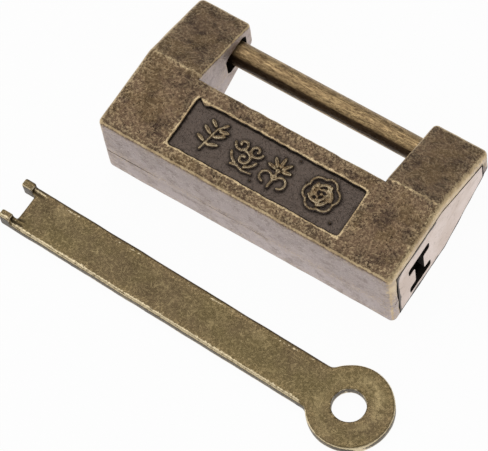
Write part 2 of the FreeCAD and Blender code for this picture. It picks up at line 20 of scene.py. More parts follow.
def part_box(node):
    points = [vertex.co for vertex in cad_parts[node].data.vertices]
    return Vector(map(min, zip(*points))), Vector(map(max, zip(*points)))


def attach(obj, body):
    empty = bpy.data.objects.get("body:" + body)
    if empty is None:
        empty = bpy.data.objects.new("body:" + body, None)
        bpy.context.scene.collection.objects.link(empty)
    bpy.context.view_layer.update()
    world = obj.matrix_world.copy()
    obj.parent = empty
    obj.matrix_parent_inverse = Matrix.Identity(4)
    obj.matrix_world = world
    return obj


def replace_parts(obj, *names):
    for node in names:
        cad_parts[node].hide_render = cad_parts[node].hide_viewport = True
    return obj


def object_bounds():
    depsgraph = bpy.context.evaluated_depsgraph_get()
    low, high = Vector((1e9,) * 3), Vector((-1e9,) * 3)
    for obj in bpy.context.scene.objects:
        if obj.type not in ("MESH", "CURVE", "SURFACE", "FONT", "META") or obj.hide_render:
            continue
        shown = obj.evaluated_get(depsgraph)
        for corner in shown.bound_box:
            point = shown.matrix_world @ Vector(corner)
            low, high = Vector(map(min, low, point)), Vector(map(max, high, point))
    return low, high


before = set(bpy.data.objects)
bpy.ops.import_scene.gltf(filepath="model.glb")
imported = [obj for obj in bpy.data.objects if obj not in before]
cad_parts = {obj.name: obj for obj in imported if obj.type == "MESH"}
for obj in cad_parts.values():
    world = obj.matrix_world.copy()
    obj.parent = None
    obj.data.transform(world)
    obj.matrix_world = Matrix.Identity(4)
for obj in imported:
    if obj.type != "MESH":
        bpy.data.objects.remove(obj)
CAD_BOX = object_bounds()

log = logging.getLogger("padlock")
MM = 0.001
NOISE_SEED = 11
MERGE_DISTANCE = 0.002 * MM
FLAT_ANGLE = math.radians(0.4)
ON_PLANE = 1e-5
WALL_NODES = ("front_shell", "back_shell", "keyhole_plate", "head_plate")
WHITE = (1.0, 1.0, 1.0, 1.0)
Colour = tuple[float, float, float]
Point = tuple[float, float]
Place = tuple[float, float, float]
Socket = bpy.types.NodeSocket
Paint = Colour | Socket
Look = tuple[Socket, object, object, Socket]


def linear(colour: Colour) -> tuple[float, float, float, float]:
    """Turn a display colour into the linear one that shaders take.

    Args:
        colour: red, green and blue on the display scale of 0 to 255.

    Returns:
        Linear red, green, blue and an alpha of 1.
    """
    parts = [part / 255 for part in colour]
    curved = [((part + 0.055) / 1.055) ** 2.4 if part > 0.04045 else part / 12.92 for part in parts]
    return (*curved, 1.0)


# --- Shader building ---


class Tree:
    """A shader node tree, with the few calls that every finish makes on it."""

    def __init__(self, tree: bpy.types.NodeTree) -> None:
        """Start with an empty tree."""
        self.tree = tree
        tree.nodes.clear()

    def add(self, kind: str, inputs: dict | None = None, **settings: object) -> bpy.types.Node:
        """Place a node.

        Args:
            kind: the node's type name, without its ShaderNode prefix.
            inputs: a socket or a plain value for each input that isn't left as it is.
            settings: the node's own settings.

        Returns:
            The new node.
        """
        node = self.tree.nodes.new("ShaderNode" + kind)
        for name, value in settings.items():
            setattr(node, name, value)
        for name, value in (inputs or {}).items():
            self.feed(node.inputs[name], value)
        return node

    def feed(self, socket: Socket, value: object) -> None:
        """Link a socket to an input, or set the input to a plain value."""
        if isinstance(value, Socket):
            self.tree.links.new(value, socket)
        else:
            socket.default_value = value

    def math(self, operation: str, *values: object) -> Socket:
        """Return the result of a Math node."""
        return self.add("Math", dict(enumerate(values)), operation=operation).outputs[0]

    def times(self, first: object, second: object) -> Socket:
        """Return the product of two values."""
        return self.math("MULTIPLY", first, second)

    def span(self, value: object, low: object, high: object, start: float = 0.0, end: float = 1.0) -> Socket:
        """Return a value spread smoothly so that low gives start and high gives end."""
        sockets = {"Value": value, "From Min": low, "From Max": high, "To Min": start, "To Max": end}
        return self.add("MapRange", sockets, interpolation_type="SMOOTHSTEP").outputs["Result"]

    def vary(self, mask: object, start: float, end: float) -> Socket:
        """Return a value that goes from start to end as a mask goes from 0 to 1."""
        return self.span(mask, 0.0, 1.0, start, end)

    def lay(self, under: Paint, over: Paint, mask: object, share: object = None) -> Socket:
        """Lay one colour over another.

        Args:
            under: the lower colour, as a socket or a display colour.
            over: the upper colour, likewise.
            mask: where the upper colour shows.
            share: how much of it shows there, if not all.

        Returns:
            The resulting colour's socket.
        """
        node = self.add("Mix", data_type="RGBA")
        self.feed(node.inputs[0], mask if share is None else self.times(mask, share))
        for socket, colour in ((node.inputs[6], under), (node.inputs[7], over)):
            self.feed(socket, colour if isinstance(colour, Socket) else linear(colour))
        return node.outputs[2]

    def layers(self, colour: Paint, *layers: tuple) -> Socket:
        """Lay colours over a first one, each with its mask and its share, as lay takes them."""
        for over, *masks in layers:
            colour = self.lay(colour, over, *masks)
        return colour

    def noise(self, vector: object, scale: object, detail: float = 2.0, roughness: float = 0.5) -> Socket:
        """Return the value of a Noise Texture."""
        sockets = {"Vector": vector, "Scale": scale, "Detail": detail, "Roughness": roughness}
        return self.add("TexNoise", sockets).outputs["Fac"]

    def here(self) -> Socket:
        """Return the place on the object, in metres."""
        return self.add("TexCoord").outputs["Object"]

    def facing(self) -> bpy.types.NodeOutputs:
        """Return the three parts of the surface's direction on the object."""
        return self.add("SeparateXYZ", {"Vector": self.add("TexCoord").outputs["Normal"]}).outputs

    def marked(self, name: str) -> Socket:
        """Return the value that the mesh stores under a name."""
        return self.add("Attribute", attribute_name=name).outputs["Fac"]

    def sway(self, vector: Socket, scale: float, detail: float, reach: float) -> Socket:
        """Return places moved by noise of a scale and detail, up to a reach in metres."""
        bent = self.add("TexNoise", {"Vector": vector, "Scale": scale, "Detail": detail}).outputs["Color"]
        shift = self.add("VectorMath", {0: bent, "Scale": reach}, operation="SCALE").outputs[0]
        return self.add("VectorMath", {0: vector, 1: shift}, operation="ADD").outputs[0]

    def stretch(self, vector: Socket, length: Socket) -> Socket:
        """Return places pulled out along X by a length."""
        x, y, z = self.add("SeparateXYZ", {"Vector": vector}).outputs
        return self.add("CombineXYZ", {"X": self.math("DIVIDE", x, length), "Y": y, "Z": z}).outputs[0]

    def even(self, level: Socket, soft: Socket) -> Socket:
        """Return a mask that rises from 0 to 1 as a level goes from below zero to as much above it."""
        return self.span(level, self.times(soft, -1.0), soft)

    def mask(self, effect: "Effect", **inputs: float) -> Socket:
        """Place a shared effect and return its mask.

        Args:
            effect: the effect wanted.
            inputs: the value of each of its inputs that isn't left as it is.

        Returns:
            The mask's socket.
        """
        node = self.add("Group", node_tree=EFFECTS.get(effect))
        for name, value in inputs.items():
            self.feed(node.inputs[name.capitalize()], value)
        return node.outputs[0]

    def mottle(self, scale: float, coverage: float, soft: float) -> Socket:
        """Return the mask of soft cloudy patches."""
        return self.mask(Effect.MOTTLE, scale=scale, coverage=coverage, soft=soft)

    def speckle(self, scale: float, size: float, share: float) -> Socket:
        """Return the mask of small separate spots."""
        return self.mask(Effect.SPECKLE, scale=scale, size=size, share=share)


class Effect(Enum):
    """Surface effects that several finishes share, each a node group with one mask as its output."""

    MOTTLE = "mottle"
    HAIRLINES = "hairlines"
    EDGE_WEAR = "edge_wear"
    STREAKS = "streaks"
    SPECKLE = "speckle"


class EffectLibrary:
    """Builds each shared effect once, the first time that a finish asks for it."""

    hair_turns = (12.0, 48.0, 83.0, 121.0, 158.0)
    hair_tilt = (0.35, 0.2)
    hair_step = 0.07

    def __init__(self) -> None:
        """Start with nothing built."""
        self.built: dict[Effect, bpy.types.NodeTree] = {}

    def get(self, effect: Effect) -> bpy.types.NodeTree:
        """Return the node group of an effect, made on first use."""
        if effect not in self.built:
            self.built[effect] = getattr(self, "make_" + effect.value)()
        return self.built[effect]

    @staticmethod
    def start(effect: Effect, **inputs: float) -> tuple[Tree, dict[str, Socket], Callable[[Socket], None]]:
        """Make an empty group with float inputs and one mask output.

        Args:
            effect: the effect that the group makes.
            inputs: each input's name and its value where it isn't set.

        Returns:
            The group's tree, its input sockets by name, and the function that takes the finished mask.
        """
        group = bpy.data.node_groups.new(effect.value, "ShaderNodeTree")
        group.interface.new_socket("Mask", in_out="OUTPUT", socket_type="NodeSocketFloat")
        for name, value in inputs.items():
            entry = group.interface.new_socket(name, in_out="INPUT", socket_type="NodeSocketFloat")
            entry.default_value = value
        tree = Tree(group)
        enter = group.nodes.new("NodeGroupInput")
        leave = group.nodes.new("NodeGroupOutput")
        sockets = {name: enter.outputs[name] for name in inputs}
        return tree, sockets, lambda mask: tree.feed(leave.inputs["Mask"], mask)

    def make_mottle(self) -> bpy.types.NodeTree:
        """Soft cloudy patches: Coverage moves the level above which the mask rises, Soft its width."""
        tree, inputs, output = self.start(Effect.MOTTLE, Scale=500.0, Coverage=0.5, Soft=0.15)
        cloud = tree.noise(tree.here(), inputs["Scale"], detail=3.0, roughness=0.62)
        level = tree.math("SUBTRACT", cloud, tree.math("SUBTRACT", 1.0, inputs["Coverage"]))
        output(tree.even(level, inputs["Soft"]))
        return tree.tree

    def make_hairlines(self) -> bpy.types.NodeTree:
        """Short fine scratches in many directions, as tumbling leaves them."""
        tree, inputs, output = self.start(Effect.HAIRLINES, Scale=2600.0, Share=0.5, Length=8.0)
        swayed = tree.sway(tree.here(), scale=380.0, detail=0.0, reach=0.0016)
        total: object = 0.0
        edge = tree.math("SUBTRACT", 0.84, tree.times(inputs["Share"], 0.4))
        for index, turn in enumerate(self.hair_turns):
            turned = tree.add("Mapping", {"Vector": swayed, "Rotation": (*self.hair_tilt, math.radians(turn)),
                                          "Location": (self.hair_step * index, 0.0, 0.0)}).outputs[0]
            fibre = tree.noise(tree.stretch(turned, inputs["Length"]), inputs["Scale"], detail=1.0)
            total = tree.math("MAXIMUM", total, tree.span(fibre, edge, tree.math("ADD", edge, 0.06)))
        output(total)
        return tree.tree

    def make_edge_wear(self) -> bpy.types.NodeTree:
        """A mask along the corners that the mesh's wear and painted-light attribute marks, broken up by
        noise: rubbed metal and painted highlights where a finish lays a light colour with it, painted shade
        on the plates.
        """
        tree, inputs, output = self.start(Effect.EDGE_WEAR, Reach=0.5, Ragged=0.5, Scale=900.0)
        worn = tree.marked("wear")
        uneven = tree.noise(tree.here(), inputs["Scale"], detail=3.0, roughness=0.65)
        calm = tree.times(tree.math("SUBTRACT", uneven, 0.5), tree.vary(worn, 1.0, 0.7))
        level = tree.math("ADD", worn, tree.times(calm, inputs["Ragged"]))
        edge = tree.math("SUBTRACT", 1.0, inputs["Reach"])
        output(tree.span(level, edge, tree.math("ADD", edge, 0.35)))
        return tree.tree

    def make_streaks(self) -> bpy.types.NodeTree:
        """Long marks that run along X, as drawing a bar through a die leaves them."""
        tree, inputs, output = self.start(Effect.STREAKS, Scale=1500.0, Length=12.0, Soft=0.15)
        pulled = tree.stretch(tree.here(), inputs["Length"])
        cloud = tree.noise(pulled, inputs["Scale"], detail=3.0, roughness=0.6)
        output(tree.even(tree.math("SUBTRACT", cloud, 0.5), inputs["Soft"]))
        return tree.tree

    def make_speckle(self) -> bpy.types.NodeTree:
        """Small separate spots: pits where used dark, painted glints where used light."""
        tree, inputs, output = self.start(Effect.SPECKLE, Scale=2200.0, Size=0.3, Share=0.4)
        moved = tree.sway(tree.here(), scale=1500.0, detail=1.0, reach=0.0006)
        cell = tree.add("TexVoronoi", {"Vector": moved, "Scale": inputs["Scale"]}).outputs
        spot = tree.span(cell["Distance"], 0.0, inputs["Size"], 1.0, 0.0)
        luck = tree.add("SeparateColor", {"Color": cell["Color"]}).outputs["Red"]
        output(tree.times(spot, tree.math("LESS_THAN", luck, inputs["Share"])))
        return tree.tree


EFFECTS = EffectLibrary()


def begin_material(name: str) -> tuple[bpy.types.Material, Tree]:
    """Return a new empty material and its tree."""
    material = bpy.data.materials.new(name)
    material.use_nodes = True
    return material, Tree(material.node_tree)


# --- Finishes ---


@dataclass(frozen=True)
class Finish:
    """A metal finish. Each kind paints its own colour, roughness, metal share and fine relief."""

    name: str
    relief: float

    def build(self) -> bpy.types.Material:
        """Make the material.

        Returns:
            The finished material.
        """
        material, tree = begin_material(self.name)
        colour, roughness, metallic, height = self.paint(tree)
        bump = tree.add("Bump", {"Height": height, "Strength": 1.0, "Distance": self.relief * MM})
        sockets = {"Base Color": colour, "Roughness": roughness, "Metallic": metallic}
        shader = tree.add("BsdfPrincipled", {**sockets, "Normal": bump.outputs[0]})
        tree.add("OutputMaterial", {"Surface": shader.outputs[0]})
        return material

    def paint(self, tree: Tree) -> Look:
        """Return the finish's look: its colour, roughness, metal share and height."""
        raise NotImplementedError


@dataclass(frozen=True)
class CastBronzeFinish(Finish):
    """Antiqued bronze on a zinc casting: brown patina, rubbed edges, dark sunk grounds, painted glints, sides
    painted paler as a reflection of the white floor, and painted shade in hollows and shut places.
    """

    name: str = "cast_bronze"
    relief: float = 0.13
    dark: Colour = (78, 61, 49)
    brown: Colour = (120, 97, 76)
    olive: Colour = (124, 101, 66)
    tan: Colour = (194, 168, 130)
    pit: Colour = (44, 34, 26)
    gold: Colour = (222, 198, 156)
    # Painted reflection: the colour of upright faces, paler and greyer as the white floor seen in them.
    side: Colour = (192, 177, 174)
    smudge: Colour = (146, 128, 120)
    scratch: Colour = (216, 206, 202)
    ground: Colour = (104, 92, 84)
    crevice_shade: Colour = (34, 27, 21)
    # Painted shade: near-black for faces that look at a wall close by.
    inside: Colour = (29, 23, 19)
    polish: float = 0.0
    ragged: float = 2.4

    def paint(self, tree: Tree) -> Look:
        """Paint patina and painted glints, then sides painted paler as a reflection of the white floor, the
        sunk grounds, painted shade in hollows and shut places, and rubbed edges that also carry painted
        highlights.

        Args:
            tree: the material's tree.

        Returns:
            The look.
        """
        clouds = tree.mottle(430.0, 0.53, 0.1)
        green = tree.mottle(170.0, 0.45, 0.08)
        grains = tree.mottle(2900.0, 0.46, 0.1)
        pits = tree.speckle(3100.0, 0.5, 0.4)
        # Painted glints: small bright spots that stand in for sparkle.
        glints = tree.speckle(1900.0, 0.3, 0.16)
        hairs = tree.mask(Effect.HAIRLINES, scale=3000.0, share=0.46, length=9.0)
        zone = tree.marked("zone")
        scratches_and_glints = tree.math("MAXIMUM", tree.times(hairs, 0.34), tree.times(glints, 0.7))
        colour = tree.layers(
            self.dark,
            (self.brown, clouds),
            (self.olive, green, 0.45),
            (self.tan, grains, tree.vary(clouds, 0.16, 0.3)),
            (self.gold, zone, tree.vary(grains, 0.03, 0.28)),
            (self.pit, pits, 0.75),
            (self.tan, scratches_and_glints),
        )
        # Painted reflection: upright faces are painted paler as the white floor reflected in them, with real
        # smudges and scratches on top.
        side_reflection_mask = tree.span(tree.math("ABSOLUTE", tree.facing()["Z"]), 0.6, 0.1)
        fade = tree.mottle(160.0, 0.62, 0.2)
        smudges = tree.mottle(640.0, 0.44, 0.1)
        side_reflection = tree.lay(self.side, self.smudge, smudges, 0.62)
        side_reflection = tree.lay(side_reflection, self.scratch, hairs, 0.5)
        thin = tree.math("SUBTRACT", tree.vary(fade, 0.74, 0.95), tree.times(grains, 0.16))
        rubbed = tree.mask(Effect.EDGE_WEAR, reach=0.45, ragged=self.ragged, scale=2000.0)
        # Painted shade where faces look at a wall close by; their shine is turned off too.
        shut_shade = tree.marked("shut_shade")
        colour = tree.layers(
            colour,
            (side_reflection, side_reflection_mask, thin),
            (self.tan, tree.times(zone, grains), tree.times(side_reflection_mask, 0.45)),
            (tree.lay(self.ground, self.dark, grains, 0.3), tree.marked("sunk")),
            # Painted shade in hollows and on the panel's floor round the ornament.
            (self.crevice_shade, tree.marked("hollow_shade"), 0.85),
            (tree.lay(self.tan, self.gold, clouds), rubbed, 0.85),
            (self.inside, shut_shade),
        )
        shine = tree.vary(tree.math("MAXIMUM", grains, rubbed), 0.5 - self.polish, 0.33 - self.polish)
        metallic = tree.times(tree.vary(rubbed, 0.8, 0.95), tree.vary(shut_shade, 1.0, 0.1))
        skin = tree.noise(tree.here(), 2100.0, detail=4.0, roughness=0.7)
        height = tree.math("ADD", tree.math("ADD", skin, tree.times(pits, -0.4)), tree.times(hairs, 0.25))
        return colour, tree.math("MAXIMUM", shine, shut_shade), metallic, height


@dataclass(frozen=True)
class PlateFinish(Finish):
    """Smooth plated sheet with a faint warm tint, thin smudges, fine marks, and painted shade along its
    outline and on its edge faces.
    """

    name: str = "plated_sheet"
    relief: float = 0.012
    light: Colour = (232, 214, 205)
    warm: Colour = (212, 192, 178)
    soil: Colour = (120, 100, 84)
    # Painted shade colour along the plate's outline.
    gap_shade: Colour = (46, 35, 27)
    # Painted shade: near-black for the plate's edge faces.
    inside: Colour = (29, 23, 19)

    def paint(self, tree: Tree) -> Look:
        """Paint the sheet, the painted shade that the mesh marks along its outline, and painted shade on its
        edge faces.

        Args:
            tree: the material's tree.

        Returns:
            The look.
        """
        clouds = tree.mottle(150.0, 0.5, 0.25)
        hairs = tree.mask(Effect.HAIRLINES, scale=1500.0, share=0.42, length=10.0)
        spots = tree.speckle(900.0, 0.25, 0.12)
        # Painted shade along the outline that the mesh marks.
        outline_shade = tree.mask(Effect.EDGE_WEAR, reach=0.82, ragged=1.2, scale=800.0)
        shut_shade = tree.marked("shut_shade")
        marks = tree.math("MAXIMUM", hairs, spots)
        colour = tree.layers(self.warm, (self.light, clouds), (self.soil, marks, 0.22), (self.gap_shade, outline_shade, 0.9),
                             (self.inside, shut_shade))
        roughness = tree.math("MAXIMUM", tree.vary(clouds, 0.42, 0.34), shut_shade)
        return colour, roughness, tree.vary(shut_shade, 0.8, 0.1), tree.noise(tree.here(), 900.0, detail=3.0)


@dataclass(frozen=True)
class BarBronzeFinish(Finish):
    """Drawn bar with an antiqued skin: brown, gold and dark marks along its length, a painted highlight line
    and painted shade on the side that faces the case.
    """

    name: str = "bar_bronze"
    relief: float = 0.03
    dark: Colour = (108, 87, 61)
    brown: Colour = (166, 139, 101)
    gold: Colour = (216, 186, 136)
    # Painted shade colour for the side that faces the case.
    under: Colour = (46, 34, 24)
    inner_side: Point = (-0.58, -0.7)
    shaded_side_lean: Point = (0.0, 0.12)
    rubbed_line: tuple[float, float, float] = (-0.3, -0.46, -0.6)

    def paint(self, tree: Tree) -> Look:
        """Paint the drawn marks, a painted highlight line along the bar and painted shade on the side that
        faces the case.

        Args:
            tree: the material's tree.

        Returns:
            The look.
        """
        drawn = tree.mask(Effect.STREAKS, scale=3000.0, length=4.0, soft=0.14)
        bright = tree.mask(Effect.STREAKS, scale=3600.0, length=5.0, soft=0.07)
        grains = tree.mottle(3400.0, 0.46, 0.08)
        specks = tree.speckle(3300.0, 0.5, 0.35)
        clouds = tree.mottle(300.0, 0.5, 0.14)
        light = tree.math("MAXIMUM", bright, grains)
        facing = tree.facing()
        before, line, after = self.rubbed_line
        # Painted highlight: a bright band along the bar just before its shaded side.
        rubbed = tree.times(tree.span(facing["Y"], before, line), tree.span(facing["Y"], after, line))
        # Painted shade: the side of the bar that faces the case, darkened as the dark case reflected in it.
        inner = tree.times(tree.span(facing["Y"], *self.inner_side), tree.span(facing["Z"], *self.shaded_side_lean))
        colour = tree.layers(
            self.dark,
            (self.brown, drawn),
            (self.gold, light, tree.vary(clouds, 0.14, 0.42)),
            (self.dark, specks, 0.55),
            (self.gold, rubbed, tree.vary(grains, 0.12, 0.5)),
            (self.under, inner, 0.85),
        )
        return colour, tree.vary(bright, 0.42, 0.3), 0.85, tree.math("ADD", drawn, tree.times(specks, -0.5))


@dataclass(frozen=True)
class KeyBrassFinish(Finish):
    """Stamped brass key, antiqued and tumbled: fine crossing scratches, pale rubbed edges with painted
    highlights, and painted shade on its walls and hollows.
    """

    name: str = "key_brass"
    relief: float = 0.06
    dark: Colour = (84, 70, 49)
    brown: Colour = (108, 92, 67)
    olive: Colour = (106, 94, 58)
    tan: Colour = (178, 158, 116)
    rust: Colour = (172, 146, 106)
    edge: Colour = (236, 218, 180)
    crevice_shade: Colour = (50, 40, 28)

    def paint(self, tree: Tree) -> Look:
        """Paint patina, scratches and handling, a painted highlight on one side of the bow and a painted
        sheen, then painted shade on the walls and in hollows, and the rubbed edges with painted highlights.

        Args:
            tree: the material's tree.

        Returns:
            The look.
        """
        clouds = tree.mottle(240.0, 0.6, 0.2)
        green = tree.mottle(110.0, 0.5, 0.12)
        grains = tree.mottle(3000.0, 0.45, 0.09)
        hairs = tree.mask(Effect.HAIRLINES, scale=3400.0, share=0.57, length=9.0)
        dints = tree.speckle(2300.0, 0.4, 0.25)
        brushed = tree.mottle(420.0, 0.5, 0.06)
        sheen = tree.mottle(330.0, 0.36, 0.08)
        rubbed = tree.mask(Effect.EDGE_WEAR, reach=0.45, ragged=2.2, scale=2200.0)
        # Painted shade: faces that stand upright are darkened.
        walls = tree.span(tree.math("ABSOLUTE", tree.facing()["Z"]), 0.4, 0.1, 0.0, 0.75)
        colour = tree.layers(
            self.dark,
            (self.brown, clouds),
            (self.olive, green, 0.55),
            (self.tan, grains, 0.16),
            # Dark dents, in the same dark colour as the painted shade.
            (self.crevice_shade, dints, 0.4),
            (self.tan, hairs, 0.2),
            (self.rust, tree.marked("zone"), tree.vary(grains, 0.1, 0.3)),
            # Painted highlight: the bow lighter on one side, with brushed patches.
            (self.tan, tree.times(tree.marked("bow_highlight"), brushed), 0.7),
            (self.crevice_shade, walls),
            (self.tan, sheen, 0.3),
            (self.crevice_shade, tree.marked("hollow_shade"), 0.7),
            (self.edge, rubbed, 0.85),
        )
        skin = tree.noise(tree.here(), 1700.0, detail=3.0, roughness=0.6)
        height = tree.math("ADD", skin, tree.times(hairs, -0.3))
        return colour, tree.vary(grains, 0.42, 0.32), 0.88, height


@dataclass(frozen=True)
class SteelFinish(Finish):
    """Plain bright steel of the inner works, with rolling marks and a little oil stain."""

    name: str = "inner_steel"
    relief: float = 0.008
    light: Colour = (120, 116, 110)
    dark: Colour = (78, 74, 69)
    stain: Colour = (70, 58, 45)
    roughness: float = 0.36

    def paint(self, tree: Tree) -> Look:
        """Paint the rolling marks and the stain.

        Args:
            tree: the material's tree.

        Returns:
            The look.
        """
        rolled = tree.mask(Effect.STREAKS, scale=2400.0, length=18.0, soft=0.2)
        stains = tree.mottle(220.0, 0.38, 0.1)
        colour = tree.layers(self.dark, (self.light, rolled), (self.stain, stains, 0.5))
        return colour, tree.vary(stains, self.roughness, self.roughness + 0.15), 0.95, rolled


# --- Meshes ---


def add_object(name: str, data: bpy.types.ID) -> bpy.types.Object:
    """Add an object to the scene and return it."""
    added = bpy.data.objects.new(name, data)
    bpy.context.scene.collection.objects.link(added)
    return added


def wobble(*place: float) -> float:
    """Return smooth noise, between about -1 and 1, at a place."""
    return noise.noise(Vector(place))


def bell(values: np.ndarray | float, width: float) -> np.ndarray | float:
    """Return 1 where a value is zero, fading over a width on both sides."""
    return np.exp(-(values / width) ** 2)


def ramp(values: np.ndarray | float, start: float, width: float) -> np.ndarray | float:
    """Return 0 up to a start and 1 from a width beyond it, with a straight rise between."""
    return np.clip((values - start) / width, 0, 1)


def kept_inside(place: Vector, low: Vector, high: Vector) -> Vector:
    """Return a place, moved onto a box's surface where it lies outside the box."""
    return Vector([min(max(place[i], low[i]), high[i]) for i in range(3)])


@dataclass(frozen=True)
class CastSkin:
    """How unevenly a piece was cast and tumbled. Nothing ever stands proud of the piece's own box."""

    wander: float = 0.06
    wander_size: float = 3.4
    dent: float = 0.035
    dent_size: float = 1.3

    def shift(self, place: Vector, normal: Vector) -> Vector:
        """Return how far the surface lies from its nominal place, at a point with a direction."""
        drift = noise.noise_vector(place / self.wander_size) * self.wander
        return drift - normal * (self.dent * (0.5 + 0.5 * noise.noise(place / self.dent_size)))


def merged_copy(node: str) -> bmesh.types.BMesh:
    """Copy a CAD node's mesh with its loose triangles joined and its flat faces made whole.

    Args:
        node: the CAD node.

    Returns:
        The copy, in millimetres.
    """
    shell = bmesh.new()
    shell.from_mesh(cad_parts[node].data)
    bmesh.ops.remove_doubles(shell, verts=shell.verts[:], dist=MERGE_DISTANCE)
    bmesh.ops.scale(shell, vec=(1 / MM,) * 3, verts=shell.verts[:])
    bmesh.ops.dissolve_limit(shell, angle_limit=FLAT_ANGLE, verts=shell.verts[:], edges=shell.edges[:])
    return shell


def cut_grid(shell: bmesh.types.BMesh, spacing: float, low: Vector | Place | None = None,
             high: Vector | Place | None = None) -> None:
    """Cut a mesh along evenly spaced planes, so that its flat faces have points to shape.

    Args:
        shell: the mesh.
        spacing: the distance between planes.
        low: the lowest corner of the box whose faces are cut, or None for the whole mesh.
        high: the highest corner of that box.
    """
    faces = shell.faces[:]
    if low is not None:
        faces = [f for f in faces if all(low[i] <= f.calc_center_median()[i] <= high[i] for i in range(3))]
    corners = np.array([v.co for f in faces for v in f.verts])
    geometry = list({*faces, *(e for f in faces for e in f.edges), *(v for f in faces for v in f.verts)})
    for axis in range(3):
        normal = Vector([float(axis == i) for i in range(3)])
        start, end = corners[:, axis].min(), corners[:, axis].max()
        count = max(1, round((end - start) / spacing))
        for step in range(1, count):
            place = normal * (start + (end - start) * step / count)
            cut = bmesh.ops.bisect_plane(shell, geom=geometry, dist=ON_PLANE, plane_co=place, plane_no=normal)
            geometry = cut["geom"]


def cut_level(shell: bmesh.types.BMesh, level: float, clear_below: bool = False) -> dict:
    """Cut a mesh along one level plane, and clear what lies below it if asked to. Return what was cut."""
    geometry = shell.verts[:] + shell.edges[:] + shell.faces[:]
    return bmesh.ops.bisect_plane(shell, geom=geometry, dist=ON_PLANE, plane_co=(0, 0, level),
                                  plane_no=(0, 0, 1), clear_inner=clear_below)


def to_mesh(shell: bmesh.types.BMesh, name: str) -> bpy.types.Mesh:
    """Turn a bmesh, which is freed, into a named mesh."""
    mesh = bpy.data.meshes.new(name)
    shell.to_mesh(mesh)
    shell.free()
    return mesh


def finish_mesh(shell: bmesh.types.BMesh, name: str, sharp: float) -> bpy.types.Object:
    """Turn a bmesh in millimetres into a piece of the scene, with its attributes for wear, for painted light
    and for painted shade in its hollows.

    Args:
        shell: the mesh, which is freed.
        name: the piece's name.
        sharp: the angle in degrees above which an edge stays crisp.

    Returns:
        The new object.
    """
    bmesh.ops.scale(shell, vec=(MM,) * 3, verts=shell.verts[:])
    mesh = to_mesh(shell, name)
    WearAndShadeMarks().mark(mesh)
    mesh.shade_smooth()
    mesh.set_sharp_from_angle(angle=math.radians(sharp))
    return add_object(name, mesh)


@dataclass(frozen=True)
class WearAndShadeMarks:
    """How the bends of a surface turn into marks of wear, of painted shade in hollows and of the handled
    zone.
    """

    strongest: float = 1.5
    rounds: int = 2
    keep: float = 0.6
    slant: float = 0.26
    slant_power: float = 1.5
    zone_rounds: int = 14
    zone_keep: float = 0.5
    zone_gain: float = 2.2
    shortest: float = 1e-3

    def mark(self, mesh: bpy.types.Mesh) -> None:
        """Store how exposed each point is, and the painted shade of how hollow it is, from the way that its
        surface bends.

        Args:
            mesh: the mesh, in metres.
        """
        count = len(mesh.vertices)
        place, normal = np.zeros(count * 3, np.float32), np.zeros(count * 3, np.float32)
        ends = np.zeros(len(mesh.edges) * 2, np.int32)
        mesh.vertices.foreach_get("co", place)
        mesh.vertex_normals.foreach_get("vector", normal)
        mesh.edges.foreach_get("vertices", ends)
        place, normal, ends = place.reshape(-1, 3) / MM, normal.reshape(-1, 3), ends.reshape(-1, 2)
        along = place[ends[:, 1]] - place[ends[:, 0]]
        length = np.maximum(np.linalg.norm(along, axis=1), self.shortest)
        bend = ((normal[ends[:, 1]] - normal[ends[:, 0]]) * along).sum(1) / length ** 2
        marks = np.zeros(count)
        for pick in (np.maximum, np.minimum):
            found = np.zeros(count)
            pick.at(found, ends.ravel(), np.repeat(bend, 2))
            marks += np.clip(found, -self.strongest, self.strongest)
        marks = self.pass_on(marks, ends, self.keep, self.rounds)
        slant = ramp(1.0 - np.abs(normal).max(axis=1), 0.0, self.slant) ** self.slant_power
        store(mesh, "wear", np.clip(marks * slant, 0, 1))
        # Painted shade in hollows, where the surface bends inward.
        store(mesh, "hollow_shade", np.clip(-marks, 0, 1))
        zone = self.pass_on(np.clip(marks, 0, 1), ends, self.zone_keep, self.zone_rounds)
        store(mesh, "zone", np.clip(zone * self.zone_gain, 0, 1))

    @staticmethod
    def pass_on(marks: np.ndarray, ends: np.ndarray, keep: float, rounds: int) -> np.ndarray:
        """Pass marks on to the neighbouring points.

        Args:
            marks: each point's mark.
            ends: the two points of each edge.
            keep: the share of its own mark that a point keeps.
            rounds: how many times they are passed on.

        Returns:
            The softened marks.
        """
        shares = np.maximum(np.bincount(ends.ravel(), minlength=len(marks)), 1)
        for _ in range(rounds):
            passed = np.bincount(ends[:, 0], marks[ends[:, 1]], len(marks))
            passed += np.bincount(ends[:, 1], marks[ends[:, 0]], len(marks))
            marks = keep * marks + (1 - keep) * passed / shares
        return marks


def store(mesh: bpy.types.Mesh, name: str, values: np.ndarray, domain: str = "POINT") -> None:
    """Write one number for each point or face into a named attribute."""
    attribute = mesh.attributes.get(name) or mesh.attributes.new(name, "FLOAT", domain)
    attribute.data.foreach_set("value", np.asarray(values, np.float32))


def read(mesh: bpy.types.Mesh, name: str) -> np.ndarray:
    """Return the numbers of a named attribute of the mesh's points."""
    values = np.zeros(len(mesh.vertices), np.float32)
    mesh.attributes[name].data.foreach_get("value", values)
    return values


def points_of(mesh: bpy.types.Mesh) -> np.ndarray:
    """Return a finished mesh's points, in millimetres."""
    return np.array([vertex.co for vertex in mesh.vertices]) / MM


def set_material(piece: bpy.types.Object, material: bpy.types.Material) -> None:
    """Make a material the only one of a piece."""
    piece.data.materials.clear()
    piece.data.materials.append(material)


# --- The case ---


